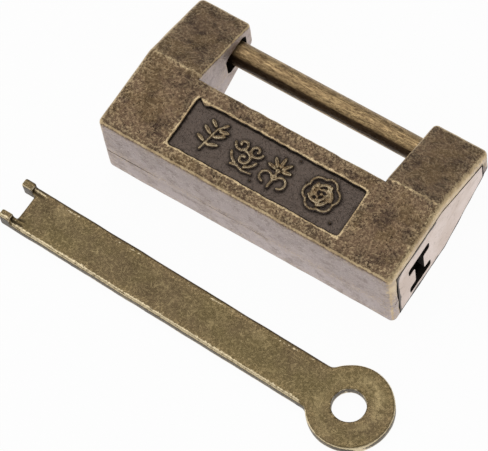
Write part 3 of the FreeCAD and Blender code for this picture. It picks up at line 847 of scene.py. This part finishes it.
@dataclass
class CastShell:
    """One half of the case, uneven and worn as a small zinc casting is."""

    node: str
    piece_name: str
    slot: str
    material: bpy.types.Material
    walls: BVHTree
    skin: CastSkin = field(default_factory=CastSkin)
    grid: float = 0.45
    sharp: float = 32.0
    edge_on: float = 0.3
    seam_z: float = 5.9
    middle_z: float = 3.0
    seam_reach: float = 0.7
    seam_width: float = 0.12
    seam_clean: float = 0.6
    seam_open: float = 0.09
    seam_wave: float = 4.0
    seam_layer: float = 2.7
    seam_uneven: Point = (0.7, 0.1)
    on_seam: float = 0.01
    open_end: float = -14.0
    open_reach: float = 5.0
    end_rim: Point = (23.9, 0.5)
    end_lip: Point = (24.6, 0.2)
    rim_wear: float = 0.74
    low_share: float = 0.55
    low_reach: float = 6.0
    mouth: float = 0.22
    mouth_start: float = 24.95
    mouth_wave: float = 2.0
    mouth_uneven: Place = (0.4, 0.85, 0.9)
    end_middle: Point = (5.0, 7.0)
    gap_start: float = 23.7
    shut_reach: float = 18.0
    clear_of_skin: float = 0.3
    panel_level: float = 14.0

    def build(self) -> bpy.types.Object:
        """Make the half, in place of its CAD node.

        Returns:
            The finished piece.
        """
        shell = merged_copy(self.node)
        cut_grid(shell, self.grid)
        for side in (-1, 1):
            cut_level(shell, self.seam_z + side * self.seam_width)
        self.refine(shell)
        self.roughen(shell)
        piece = finish_mesh(shell, self.piece_name, self.sharp)
        place = points_of(piece.data)
        self.mark_seam(piece.data, place)
        self.mark_shut_shade(piece.data)
        self.mark(piece.data, place)
        set_material(piece, self.material)
        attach(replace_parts(piece, self.node), "case")
        return piece

    def refine(self, shell: bmesh.types.BMesh) -> None:
        """Add points where this half needs more of them."""

    def mark(self, mesh: bpy.types.Mesh, place: np.ndarray) -> None:
        """Store what this half marks on its surface besides wear and the painted shade of shut places."""

    def local_shift(self, place: Vector) -> Vector:
        """Return this half's own damage at a point, besides the general unevenness."""
        return Vector()

    def mark_seam(self, mesh: bpy.types.Mesh, place: np.ndarray) -> None:
        """Rub the end rims, and keep the seam between the halves from looking rubbed.

        Args:
            mesh: the mesh.
            place: its points, in millimetres.
        """
        out, height = np.abs(place[:, 0]), place[:, 2] - self.seam_z
        rim = ramp(out, *self.end_rim) * self.rim_wear
        rim += ramp(out, *self.end_lip) * (1.0 - self.rim_wear)
        rim *= self.low_share + (1.0 - self.low_share) * ramp(height, 0.0, self.low_reach)
        store(mesh, "wear", np.maximum(read(mesh, "wear"), rim) * ramp(np.abs(height), 0.0, self.seam_clean))

    def mark_shut_shade(self, mesh: bpy.types.Mesh) -> None:
        """Mark the faces that look at another wall close by, for painted shade: the cavity, the seam and the
        plates' gaps.
        """
        values = np.zeros(len(mesh.polygons))
        for index, face in enumerate(mesh.polygons):
            middle = face.center / MM
            start = middle + face.normal * self.clear_of_skin
            hit = self.walls.ray_cast(start, face.normal, self.shut_reach)[0]
            panel = hit is not None and hit.z > self.panel_level and middle.z > self.panel_level
            inward = Vector((0.0, self.end_middle[0] - middle.y, self.end_middle[1] - middle.z)).normalized()
            in_gap = abs(middle.x) > self.gap_start and face.normal.dot(inward) > self.edge_on
            values[index] = float(in_gap or (hit is not None and not panel))
        store(mesh, "shut_shade", values, "FACE")

    def roughen(self, shell: bmesh.types.BMesh) -> None:
        """Move each point by the casting's unevenness, inside the nominal box and level at the seam.

        Args:
            shell: the mesh, in millimetres.
        """
        low, high = (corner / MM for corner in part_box(self.node))
        shell.normal_update()
        shifts = {vertex: self.mouth_shift(vertex) + self.seam_shift(vertex) for vertex in shell.verts}
        for vertex in shell.verts:
            ease = min(1.0, abs(vertex.co.z - self.seam_z) / self.seam_reach) ** 2
            moved = vertex.co + self.skin.shift(vertex.co, vertex.normal) * ease
            moved += self.local_shift(vertex.co) + shifts[vertex]
            vertex.co = kept_inside(moved, low, high)

    def seam_shift(self, vertex: bmesh.types.BMVert) -> Vector:
        """Return how far the seam's edge stands back from the other half's, where it was left open.

        Args:
            vertex: a point of the mesh.

        Returns:
            The shift in millimetres.
        """
        outward = Vector((vertex.normal.x, vertex.normal.y, 0.0))
        if abs(vertex.co.z - self.seam_z) > self.on_seam or outward.length < self.edge_on:
            return Vector()
        across, along = vertex.co.x / self.seam_wave, vertex.co.y / self.seam_wave
        gain, loss = self.seam_uneven
        open_here = gain * wobble(across, along, self.seam_layer) - loss
        open_here += min(1.0, max(0.0, (self.open_end - vertex.co.x) / self.open_reach))
        back = Vector((0.0, 0.0, math.copysign(1.0, self.middle_z - self.seam_z))) - outward.normalized()
        return back * self.seam_open * min(1.0, max(0.0, open_here))

    def mouth_shift(self, vertex: bmesh.types.BMVert) -> Vector:
        """Return how far the rim round an end plate is eased away from it, unevenly, into a dark line.

        Args:
            vertex: a point of the mesh.

        Returns:
            The shift in millimetres.
        """
        middle = Vector((vertex.co.x, *self.end_middle))
        walls = [face.normal for face in vertex.link_faces
                 if abs(face.normal.x) < self.edge_on and face.normal.dot(middle - vertex.co) > 0]
        if abs(vertex.co.x) < self.mouth_start or not walls:
            return Vector()
        least, usual, gain = self.mouth_uneven
        uneven = max(least, usual + gain * noise.noise(vertex.co / self.mouth_wave))
        return -sum(walls, Vector()).normalized() * self.mouth * uneven


@dataclass
class FrontShell(CastShell):
    """The front half, with the sunk panel for the ornament and its chipped corner."""

    middle_z: float = 10.0
    ornament: BVHTree | None = None
    front: float = 14.7
    panel_low: Point = (-14.3, -4.6)
    panel_high: Point = (14.7, 3.6)
    panel_floor: float = 14.1
    panel_edge: float = 0.6
    floor_band: Point = (0.3, 0.1)
    floor_edge: float = 0.5
    sunk_from: float = 14.58
    sunk_gain: float = 1.4
    stroke_shade_reach: float = 0.42
    bend_y: float = 7.0
    bend_start: float = 15.9
    bend_depth: float = 1.0
    rim_depth: float = 0.25
    bend_wear: Point = (0.4, 0.85)
    rim_wear_line: Point = (0.3, 1.1)
    rim_offset: float = 0.12
    # How these lines stray: over what reach beside them, how far, and in what wave length.
    bend_sway: Place = (0.7, 0.22, 1.6)
    bend_dip: Place = (0.7, -0.05, 1.1)
    rim_sway: Place = (0.5, 0.13, 1.3)
    shaped_from: float = 12.6
    # The panel's floor, its two long rims and the bend on both ears: spacing, lowest and highest corner.
    fine_boxes: tuple[tuple[float, Place, Place], ...] = (
        (0.24, (-14.4, -4.7, 14.05), (14.8, 3.7, 14.15)),
        (0.28, (-15.2, 2.6, 14.0), (15.6, 4.6, 14.8)),
        (0.28, (-15.2, -5.4, 14.0), (15.6, -4.0, 14.8)),
        (0.3, (-25.0, 6.2, 13.0), (-15.9, 7.8, 14.8)),
        (0.3, (15.9, 6.2, 13.0), (25.0, 7.8, 14.8)),
    )
    # The crack and the lump at the panel's corner: place along the rim, half length, half width and move.
    corner_marks: tuple[tuple[float, ...], ...] = ((0.25, 0.3, 0.6, 0.42), (1.5, 0.55, 0.45, -0.38))

    def refine(self, shell: bmesh.types.BMesh) -> None:
        """Add points on the panel and along the bend, where the surface changes most."""
        for spacing, low, high in self.fine_boxes:
            cut_grid(shell, spacing, low, high)

    def local_shift(self, place: Vector) -> Vector:
        """Return the wandering bend and rim, and the lump and crack at the panel's upper left corner.

        Args:
            place: a point of the surface, in millimetres.

        Returns:
            The shift in millimetres.
        """
        if place.z < self.shaped_from:
            return Vector()
        shift = Vector()
        reach, move, length = self.bend_sway
        shift.y += move * bell(place.y - self.bend_y, reach) * wobble(place.x / length, 3.0, 0.0)
        reach, move, length = self.bend_dip
        shift.z += move * bell(place.y - self.bend_y, reach) * (1 + wobble(place.x / length, 9.0, 0.0))
        for along, half_length, half_width, move in self.corner_marks:
            off_x, off_y = place.x - self.panel_low[0] - along, place.y - self.panel_high[1]
            shift.y += move * bell(off_x, half_length) * bell(off_y, half_width)
        reach, move, length = self.rim_sway
        for level in (self.panel_low[1], self.panel_high[1]):
            shift.y += move * bell(place.y - level, reach) * wobble(place.x / length, level, 5.0)
        return shift

    def mark(self, mesh: bpy.types.Mesh, place: np.ndarray) -> None:
        """Mark the sunk panel's floor and wall, painted shade on the floor round the ornament, and the wear
        along its rim and along the bend.

        Args:
            mesh: the mesh.
            place: its points, in millimetres.
        """
        out, level = np.abs(place[:, 0]), place[:, 2]
        inset = np.minimum(place[:, :2] - self.panel_low, self.panel_high - place[:, :2]).min(axis=1)
        inside = (inset > -self.panel_edge) & (level > self.panel_floor - self.floor_band[0])
        depth = (self.sunk_from - level) / (self.sunk_from - self.panel_floor)
        store(mesh, "sunk", np.where(inside, np.clip(depth * self.sunk_gain, 0, 1), 0.0))
        floor = inside & (level < self.panel_floor + self.floor_band[1])
        hollow_shade = read(mesh, "hollow_shade")
        hollow_shade[floor & (inset >= self.floor_edge)] = 0.0
        # Painted shade on the panel's floor round the ornament's strokes.
        for index in np.flatnonzero(floor):
            distance = self.ornament.find_nearest(Vector(place[index]))[3]
            hollow_shade[index] = max(hollow_shade[index], 1.0 - distance / self.stroke_shade_reach)
        store(mesh, "hollow_shade", np.clip(hollow_shade, 0, 1))
        (bend_width, bend_share), (rim_width, rim_share) = self.bend_wear, self.rim_wear_line
        on_ears = (level > self.front - self.bend_depth) * (out > self.bend_start)
        bend = bell(place[:, 1] - self.bend_y, bend_width) * on_ears
        rim = bell(inset + self.rim_offset, rim_width) * (level > self.front - self.rim_depth)
        worn = np.maximum(read(mesh, "wear"), np.maximum(bend * bend_share, rim * rim_share))
        store(mesh, "wear", np.where(floor, 0.0, worn))


@dataclass
class EndPlate:
    """A plate that closes one end of the case, with painted shade along its outline, in the gap beside the
    rim.
    """

    node: str
    body: str
    material: bpy.types.Material
    grid: float = 0.35
    sharp: float = 50.0
    keyhole: Point = (0.4, 5.95)
    keyhole_half: Point = (3.3, 4.3)
    edge_on: float = 0.3
    outline_wear: float = 0.3
    shade_reach: float = 0.5
    shade_fade: float = 0.2
    shade_wave: float = 2.6
    shade_uneven: Point = (0.75, 0.8)

    def build(self) -> bpy.types.Object:
        """Make the plate, in place of its CAD node.

        Returns:
            The finished piece.
        """
        shell = merged_copy(self.node)
        cut_grid(shell, self.grid)
        piece = finish_mesh(shell, self.node + "_sheet", self.sharp)
        place = points_of(piece.data)
        beside = (np.abs(place[:, 1:] - self.keyhole) > self.keyhole_half).any(axis=1)
        # The plate's outline edges, which the finish paints dark as painted shade.
        worn = np.where(beside, read(piece.data, "wear"), 0.0)
        outline = place[worn > self.outline_wear]
        away = np.linalg.norm(place[:, None, 1:] - outline[None, :, 1:], axis=2).min(axis=1)
        usual, gain = self.shade_uneven
        uneven = np.array([usual + gain * wobble(*point / self.shade_wave) for point in place])
        reach = self.shade_reach * uneven
        # Painted shade along the outline on the front side.
        front_side = place[:, 1] < place[:, 1].mean()
        shaded_outline = ramp(reach - away, 0.0, self.shade_fade) * beside * front_side
        store(piece.data, "wear", np.maximum(worn, shaded_outline))
        # Painted shade on the plate's edge faces, which look across the gap.
        shaded_edges = [abs(face.normal.x) < self.edge_on for face in piece.data.polygons]
        store(piece.data, "shut_shade", np.array(shaded_edges), "FACE")
        set_material(piece, self.material)
        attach(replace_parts(piece, self.node), self.body)
        return piece


def face_tree(meshes: list[bpy.types.Mesh]) -> BVHTree:
    """Return the faces of some meshes as one tree to cast rays at, in millimetres."""
    places: list[Vector] = []
    faces: list[list[int]] = []
    for mesh in meshes:
        faces += [[len(places) + index for index in polygon.vertices] for polygon in mesh.polygons]
        places += [vertex.co / MM for vertex in mesh.vertices]
    return BVHTree.FromPolygons(places, faces)


# --- The ornament in the panel ---


class Motif(Enum):
    """The four raised ornaments, from left to right, each with the centre that it is drawn round."""

    LEAF_SPRIG = (-9.4, -0.25)
    CLOUD = (-3.5, -0.3)
    LOTUS = (1.9, -0.25)
    ROSETTE = (9.2, -0.1)


def around(middle: Point, radius: float, turn: float) -> Point:
    """Return the point at a distance and a direction in degrees from a middle."""
    angle = math.radians(turn)
    return middle[0] + radius * math.cos(angle), middle[1] + radius * math.sin(angle)


@dataclass
class PanelOrnament:
    """Raised ornament that stands on the panel's floor, drawn with round strokes and small leaves."""

    material: bpy.types.Material
    floor: float = 14.1
    foot: float = 0.15
    rise: float = 0.5
    stroke: float = 0.3
    voxel: float = 0.075
    smoothing: int = 2
    sharp: float = 80.0
    # The upward lean whose shoulders get a painted highlight, and how wide that band is.
    highlight_slope: Point = (0.8, 0.15)
    foot_fade: float = 1.7
    crest: Point = (0.3, 3.5)
    crest_wear_and_highlight: Point = (0.42, 0.63)
    arc_step: float = 20.0
    # Stray grains on the panel's floor: place and size.
    grains: tuple[Place, ...] = ((12.6, -3.2, 0.22), (3.9, 2.9, 0.16), (-0.9, -3.4, 0.17), (6.3, 0.6, 0.13))
    shape: bmesh.types.BMesh = field(default_factory=bmesh.new)
    centre: Point = (0.0, 0.0)

    def build(self) -> bpy.types.Object:
        """Make all four ornaments and the stray casting grains as one piece.

        Returns:
            The finished piece.
        """
        for motif in Motif:
            self.centre = motif.value
            getattr(self, "draw_" + motif.name.lower())()
        self.centre = (0.0, 0.0)
        for x, y, size in self.grains:
            self.row([(x, y)], (size, size * 0.8), 0.0, 0.45)
        piece = self.fuse()
        self.mark(piece.data)
        set_material(piece, self.material)
        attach(piece, "case")
        return piece

    def fuse(self) -> bpy.types.Object:
        """Melt the strokes into one skin, as a mould gives them.

        Returns:
            The fused piece.
        """
        bmesh.ops.scale(self.shape, vec=(MM,) * 3, verts=self.shape.verts[:])
        holder = add_object("strokes", to_mesh(self.shape, "strokes"))
        remesh = holder.modifiers.new("remesh", "REMESH")
        remesh.mode, remesh.voxel_size = "VOXEL", self.voxel * MM
        soften = holder.modifiers.new("soften", "SMOOTH")
        soften.factor, soften.iterations = 0.5, self.smoothing
        fused = bpy.data.meshes.new_from_object(holder.evaluated_get(bpy.context.evaluated_depsgraph_get()))
        bpy.data.objects.remove(holder)
        skin = bmesh.new()
        skin.from_mesh(fused)
        bmesh.ops.scale(skin, vec=(1 / MM,) * 3, verts=skin.verts[:])
        cut = cut_level(skin, self.floor - self.foot, clear_below=True)
        rim = [item for item in cut["geom_cut"] if isinstance(item, bmesh.types.BMEdge)]
        bmesh.ops.holes_fill(skin, edges=rim)
        return finish_mesh(skin, "panel_ornament", self.sharp)

    def mark(self, mesh: bpy.types.Mesh) -> None:
        """Mark painted shade at the feet of the raised strokes, and rubbed crests with painted highlights on
        their shoulders.
        """
        height = (points_of(mesh)[:, 2] - self.floor) / self.rise
        lean = np.array([vertex.normal.z for vertex in mesh.vertices])
        lit_shoulder = bell(lean - self.highlight_slope[0], self.highlight_slope[1])
        store(mesh, "sunk", np.zeros(len(height)))
        store(mesh, "zone", np.zeros(len(height)))
        # Painted shade at the strokes' feet, darkest on the floor.
        store(mesh, "hollow_shade", np.clip(1.0 - height * self.foot_fade, 0, 1))
        (start, gain), (least, more) = self.crest, self.crest_wear_and_highlight
        store(mesh, "wear", np.clip((height - start) * gain, 0, 1) * (least + more * lit_shoulder))

    def row(self, places: list[Point], half: Point, turn: float, height: float = 1.0) -> None:
        """Add low oval bumps that are alike.

        Args:
            places: their middles, from the motif's centre.
            half: half their length and half their width.
            turn: the direction of their length, in degrees from X.
            height: their rise as a share of the ornament's.
        """
        part = bmesh.new()
        size = Matrix.Diagonal((*half, self.rise * height, 1.0))
        for place in places:
            middle = Matrix.Translation((self.centre[0] + place[0], self.centre[1] + place[1], self.floor))
            where = middle @ Matrix.Rotation(math.radians(turn), 4, "Z") @ size
            bmesh.ops.create_uvsphere(part, u_segments=12, v_segments=8, radius=1.0, matrix=where)
        mesh = to_mesh(part, "stroke")
        self.shape.from_mesh(mesh)
        bpy.data.meshes.remove(mesh)

    def leaf(self, base: Point, turn: float, length: float, half: Point) -> None:
        """Add one leaf or petal whose middle lies a length from its base, in a direction."""
        self.row([around(base, length, turn)], half, turn)

    def line(self, points: list[Point], thick: float = 1.0, taper: float = 0.0) -> None:
        """Add a round stroke through some points, as overlapping ovals.

        Args:
            points: the points, from the motif's centre.
            thick: its width as a share of the usual stroke's.
            taper: how much of the width is lost towards the end.
        """
        spans = list(zip(points, points[1:]))
        for index, (start, end) in enumerate(spans):
            run = Vector(end) - Vector(start)
            radius = self.stroke * thick * (1 - taper * index / len(spans))
            steps = max(2, math.ceil(run.length / (radius * 0.7)))
            middles = [Vector(start).lerp(Vector(end), step / (steps - 1)) for step in range(steps)]
            self.row([tuple(middle) for middle in middles], (radius * 1.15, radius),
                     math.degrees(math.atan2(run.y, run.x)))

    def arc(self, middle: Point, radius: float, start: float, end: float, thick: float = 1.0,
            grow: float = 0.0) -> None:
        """Add a stroke from a start to an end direction round a middle, its radius growing on the way."""
        count = max(3, math.ceil(abs(end - start) / self.arc_step))
        self.line([around(middle, radius + grow * i / count, start + (end - start) * i / count)
                   for i in range(count + 1)], thick)

    def draw_leaf_sprig(self) -> None:
        """Draw a bent twig with three pairs of leaves and one at its tip."""
        self.line([(-0.5, -2.6), (-0.2, -1.2), (0.0, 0.0), (0.25, 1.2), (0.7, 1.8)], 0.85, taper=0.2)
        for x, y, turn, length in ((-0.3, -1.7, 22, 1.05), (-0.25, -1.4, 160, 0.95), (0.0, -0.3, 30, 1.1),
                                   (0.0, 0.0, 152, 1.05), (0.25, 1.0, 14, 0.95), (0.15, 1.3, 146, 0.9)):
            self.leaf((x, y), turn, length + 0.15, (length, 0.4))
        self.row([(1.05, 2.2)], (0.7, 0.36), 48)

    def draw_cloud(self) -> None:
        """Draw a cloud of two facing scrolls over a third, with a trailing tail."""
        for x, y, start, end in ((-1.15, 1.2, 200, -170), (1.15, 1.2, -20, 350), (0.0, -0.7, 90, 460)):
            self.arc((x, y), 0.3, start, end, grow=0.85)
        for start in (200, 292):
            self.arc((0.0, 0.2), 2.2, start, start + 48)
        self.line([(-1.2, -2.3), (-0.3, -2.1), (0.8, -2.5), (2.2, -2.3)], 0.95, taper=0.3)

    def draw_lotus(self) -> None:
        """Draw a fan of five petals on a short stalk with two curled leaves."""
        for turn, length in ((90, 1.2), (52, 1.15), (128, 1.15), (14, 1.0), (166, 1.0)):
            self.leaf((0.0, 0.1), turn, length + 0.3, (length * 0.9, 0.4))
        self.row([(0.0, 0.1)], (0.5, 0.45), 0)
        self.line([(0.0, 0.0), (0.05, -1.2), (-0.1, -2.7)])
        self.arc((-1.15, -1.5), 0.9, 20, 260, 0.95)
        self.arc((1.2, -1.5), 0.9, 160, -80, 0.95)

    def draw_rosette(self) -> None:
        """Draw a round bloom: a lobed rim, five turning petals, three inner ones and a bud."""
        for turn in range(15, 375, 60):
            self.arc(around((0.0, 0.0), 1.45, turn), 1.3, turn - 52, turn + 60, 0.85)
        for turn in range(0, 360, 72):
            self.arc((0.0, 0.0), 1.75, turn - 8, turn + 62, 1.15, grow=-0.45)
        for turn in range(0, 360, 120):
            self.arc((0.0, 0.0), 1.0, turn + 20, turn + 115, 0.95, grow=-0.35)
        self.row([(0.0, 0.0)], (0.36, 0.3), 30)


# --- The key and the plain hardware ---


@dataclass
class FlatKey:
    """The stamped key that lies in front of the lock."""

    material: bpy.types.Material
    skin: CastSkin = CastSkin(wander=0.07, wander_size=4.5, dent=0.03, dent_size=1.6)
    grid: float = 0.45
    sharp: float = 50.0
    ring: Point = (26.45, -21.4)
    turn: float = math.radians(-1.92)
    half_width: float = 3.6
    bow_radius: float = 5.4
    bow_middle: float = 4.4
    bow_light: float = 0.4
    bow_width: float = 0.8
    blade_start: float = 1.5
    # How far in from the blade's long edge each of these lies, and how wide it is.
    far_edge_shade: Point = (0.45, 0.25)
    far_highlight_line: Point = (0.62, 0.22)
    near_highlight_line: Point = (0.35, 0.25)
    tip_grid: float = 0.22
    tip_length: float = 5.5
    tip_fade: float = 0.3
    tip_foot: float = 0.3
    tip_rounds: int = 14
    top: float = 1.0
    line_highlight: float = 0.85
    far_shade_share: float = 0.8
    wave: float = 2.0
    uneven: Point = (0.8, 0.6)
    bow_highlight_share: Point = (0.35, 0.65)

    def build(self) -> bpy.types.Object:
        """Make the key, in place of its CAD node.

        Returns:
            The finished piece.
        """
        low, high = (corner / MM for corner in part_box("key"))
        shell = merged_copy("key")
        cut_grid(shell, self.grid)
        reach = Vector((low.x + self.tip_length, high.y, high.z))
        cut_grid(shell, self.tip_grid, low, reach)
        tip = [v for v in shell.verts if v.co.x < reach.x - self.tip_fade and v.co.z > self.tip_foot]
        axes = dict.fromkeys(("use_axis_x", "use_axis_y", "use_axis_z"), True)
        for _ in range(self.tip_rounds):
            bmesh.ops.smooth_vert(shell, verts=tip, factor=0.5, **axes)
        shell.normal_update()
        for vertex in shell.verts:
            vertex.co = kept_inside(vertex.co + self.skin.shift(vertex.co, vertex.normal), low, high)
        piece = finish_mesh(shell, "flat_key", self.sharp)
        self.mark(piece.data)
        set_material(piece, self.material)
        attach(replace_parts(piece, "key"), "key")
        return piece

    def mark(self, mesh: bpy.types.Mesh) -> None:
        """Paint shade along the blade's far edge, mark painted highlight lines along both long edges, and a
        painted highlight on one side of the bow.

        Args:
            mesh: the mesh.
        """
        place = points_of(mesh)
        cosine, sine = math.cos(self.turn), math.sin(self.turn)
        off_x, off_y = place[:, 0] - self.ring[0], place[:, 1] - self.ring[1]
        beside = off_y * cosine - off_x * sine
        blade = ramp(-off_x * cosine - off_y * sine, self.bow_radius, self.blade_start)
        usual, gain = self.uneven
        ragged = np.array([usual + gain * wobble(*point / self.wave) for point in place])
        # Painted shade: a dark band along the blade's far edge.
        inset, width = self.far_edge_shade
        rolled = ramp(beside, self.half_width - inset, width) * blade
        # Painted highlights: a bright line inside the far edge and one along the near edge.
        inset, width = self.far_highlight_line
        line = bell(beside - self.half_width + inset, width) * blade * ragged
        inset, width = self.near_highlight_line
        near_highlight = bell(beside + self.half_width - inset, width) * blade * (place[:, 2] > self.top)
        worn = np.maximum(read(mesh, "wear") * (1.0 - self.far_shade_share * rolled), line * self.line_highlight)
        store(mesh, "wear", np.maximum(worn, near_highlight))
        store(mesh, "hollow_shade", np.clip(read(mesh, "hollow_shade") + rolled * ragged, 0, 1))
        # Painted highlight: the bow is lighter on the side towards bow_light.
        least, more = self.bow_highlight_share
        bow_lit_side = least + more * (0.5 + 0.5 * np.cos(np.arctan2(off_y, off_x) - self.bow_light))
        store(mesh, "bow_highlight", bell(np.hypot(off_x, off_y) - self.bow_middle, self.bow_width) * bow_lit_side)


@dataclass
class Hardware:
    """The pieces whose CAD shape is already right, dressed with their finishes."""

    finishes: dict[str, bpy.types.Material]

    def dress(self) -> None:
        """Give each of those CAD nodes its material."""
        for node, material in self.finishes.items():
            set_material(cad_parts[node], material)
            log.info("dressed %s with %s", node, material.name)


# --- The studio ---


def heading(place: Place, aim: Place) -> Quaternion:
    """Return the turn that makes a lamp or a camera at a place look at its aim."""
    return (Vector(aim) - Vector(place)).to_track_quat("-Z", "Y")


@dataclass
class Studio:
    """A plain white floor, soft light from above and the camera. Lengths here are metres."""

    floor_size: float = 6.0
    floor_drop: float = 0.00005
    floor_paint: float = 0.86
    shadow_share: float = 0.04
    sky_high: float = 0.4
    sky_front: float = 0.7
    sky_back: float = 0.3
    # Each lamp's name, place, side and power in watts.
    lamps: tuple[tuple[str, Place, float, float], ...] = (
        ("overhead_lamp", (-0.25, 0.3, 0.8), 0.8, 2.4),
        ("side_lamp", (-0.6, -0.5, 0.5), 0.5, 0.6),
    )
    camera_place: Place = (0.142537, -0.158467, 0.451406)
    camera_aim: Place = (-0.002253, -0.004932, 0.0)
    camera_roll: float = -11.36
    lens: float = 250.57
    sensor: float = 36.0
    clip: Point = (0.01, 20.0)

    def build(self) -> None:
        """Make the floor, the world, the lamps and the camera."""
        self.make_floor()
        self.make_world()
        for name, place, side, power in self.lamps:
            lamp = bpy.data.lights.new(name, "AREA")
            lamp.size, lamp.energy = side, power
            holder = add_object(name, lamp)
            holder.location = place
            holder.rotation_euler = heading(place, (0.0, 0.0, 0.0)).to_euler()
        self.make_camera()
        bpy.context.scene.view_settings.view_transform = "Standard"

    def make_floor(self) -> None:
        """Make the floor, white in view and in reflections, that keeps a faint shadow."""
        plane = bmesh.new()
        size = Matrix.Diagonal((self.floor_size, self.floor_size, 1.0, 1.0))
        bmesh.ops.create_grid(plane, x_segments=1, y_segments=1, size=0.5,
                              matrix=Matrix.Translation((0.0, 0.0, CAD_BOX[0].z - self.floor_drop)) @ size)
        floor = add_object("floor", to_mesh(plane, "floor"))
        material, tree = begin_material("white_floor")
        path = tree.add("LightPath").outputs
        seen = tree.math("MAXIMUM", path["Is Camera Ray"], path["Is Glossy Ray"])
        seen = tree.math("MAXIMUM", seen, path["Is Transmission Ray"])
        paint = tree.add("BsdfDiffuse", {"Color": (*(self.floor_paint,) * 3, 1.0)})
        glow = tree.add("Emission", {"Color": WHITE, "Strength": 1.0})
        share = tree.times(seen, 1.0 - self.shadow_share)
        mixed = tree.add("MixShader", {0: share, 1: paint.outputs[0], 2: glow.outputs[0]})
        tree.add("OutputMaterial", {"Surface": mixed.outputs[0]})
        set_material(floor, material)

    def make_world(self) -> None:
        """Make a soft sky, brighter in front than overhead or behind, and white in view."""
        world = bpy.data.worlds.new("soft_sky")
        bpy.context.scene.world = world
        world.use_nodes = True
        tree = Tree(world.node_tree)
        toward = tree.add("SeparateXYZ", {"Vector": tree.add("TexCoord").outputs["Generated"]}).outputs
        level = tree.span(toward["Y"], 0.5, -0.5, self.sky_back, self.sky_front)
        rise = tree.span(toward["Z"], 0.1, 0.9)
        strength = tree.add("Mix", {0: rise, 2: level, 3: self.sky_high}).outputs[0]
        sky = tree.add("Background", {"Color": WHITE, "Strength": strength})
        seen = tree.add("Background", {"Color": WHITE, "Strength": 1.0})
        path = tree.add("LightPath").outputs["Is Camera Ray"]
        mixed = tree.add("MixShader", {0: path, 1: sky.outputs[0], 2: seen.outputs[0]})
        tree.add("OutputWorld", {"Surface": mixed.outputs[0]})

    def make_camera(self) -> None:
        """Make the camera, turned to its aim and then rolled."""
        data = bpy.data.cameras.new("camera")
        data.lens, data.sensor_width = self.lens, self.sensor
        data.clip_start, data.clip_end = self.clip
        camera = add_object("camera", data)
        camera.location = self.camera_place
        camera.rotation_mode = "QUATERNION"
        roll = Quaternion((0.0, 0.0, 1.0), math.radians(self.camera_roll))
        camera.rotation_quaternion = heading(self.camera_place, self.camera_aim) @ roll
        bpy.context.scene.camera = camera


def main() -> None:
    """Build the studio and every piece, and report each."""
    logging.basicConfig(level=logging.INFO, format="%(message)s")
    # The vector noise starts from the clock unless it gets a seed.
    noise.seed_set(NOISE_SEED)
    Studio().build()
    cast_front = CastBronzeFinish().build()
    # The back half's upright faces are painted paler still, as painted reflection.
    cast_back = CastBronzeFinish("cast_bronze_back", side=(196, 182, 180)).build()
    # The raised ornament's pale gold is a painted highlight on its rubbed shoulders.
    raised = CastBronzeFinish("raised_bronze", brown=(104, 84, 62), gold=(240, 220, 182), polish=0.12,
                              ragged=1.3).build()
    plate = PlateFinish().build()
    steel = SteelFinish().build()
    spring = SteelFinish("spring_steel", light=(112, 112, 117), dark=(72, 73, 78), stain=(70, 60, 48),
                         roughness=0.3).build()
    ornament = PanelOrnament(raised).build()
    strokes = face_tree([ornament.data])
    walls = face_tree([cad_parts[node].data for node in WALL_NODES])
    pieces = [
        ornament,
        FrontShell("front_shell", "front_casting", "cast_front", cast_front, walls, ornament=strokes).build(),
        CastShell("back_shell", "back_casting", "cast_back", cast_back, walls).build(),
        EndPlate("keyhole_plate", "case", plate).build(),
        EndPlate("head_plate", "shackle", plate, keyhole=(0.0, -20.0)).build(),
        FlatKey(KeyBrassFinish().build()).build(),
    ]
    for piece in pieces:
        log.info("%s: %d faces", piece.name, len(piece.data.polygons))
    Hardware({
        "catch_plate": steel, "shell_pins": steel, "stem": steel, "leaf_rivets": steel,
        "front_leaf": spring, "back_leaf": spring, "shackle_rod": BarBronzeFinish().build(),
    }).dress()


if __name__ == "__main__":
    main()
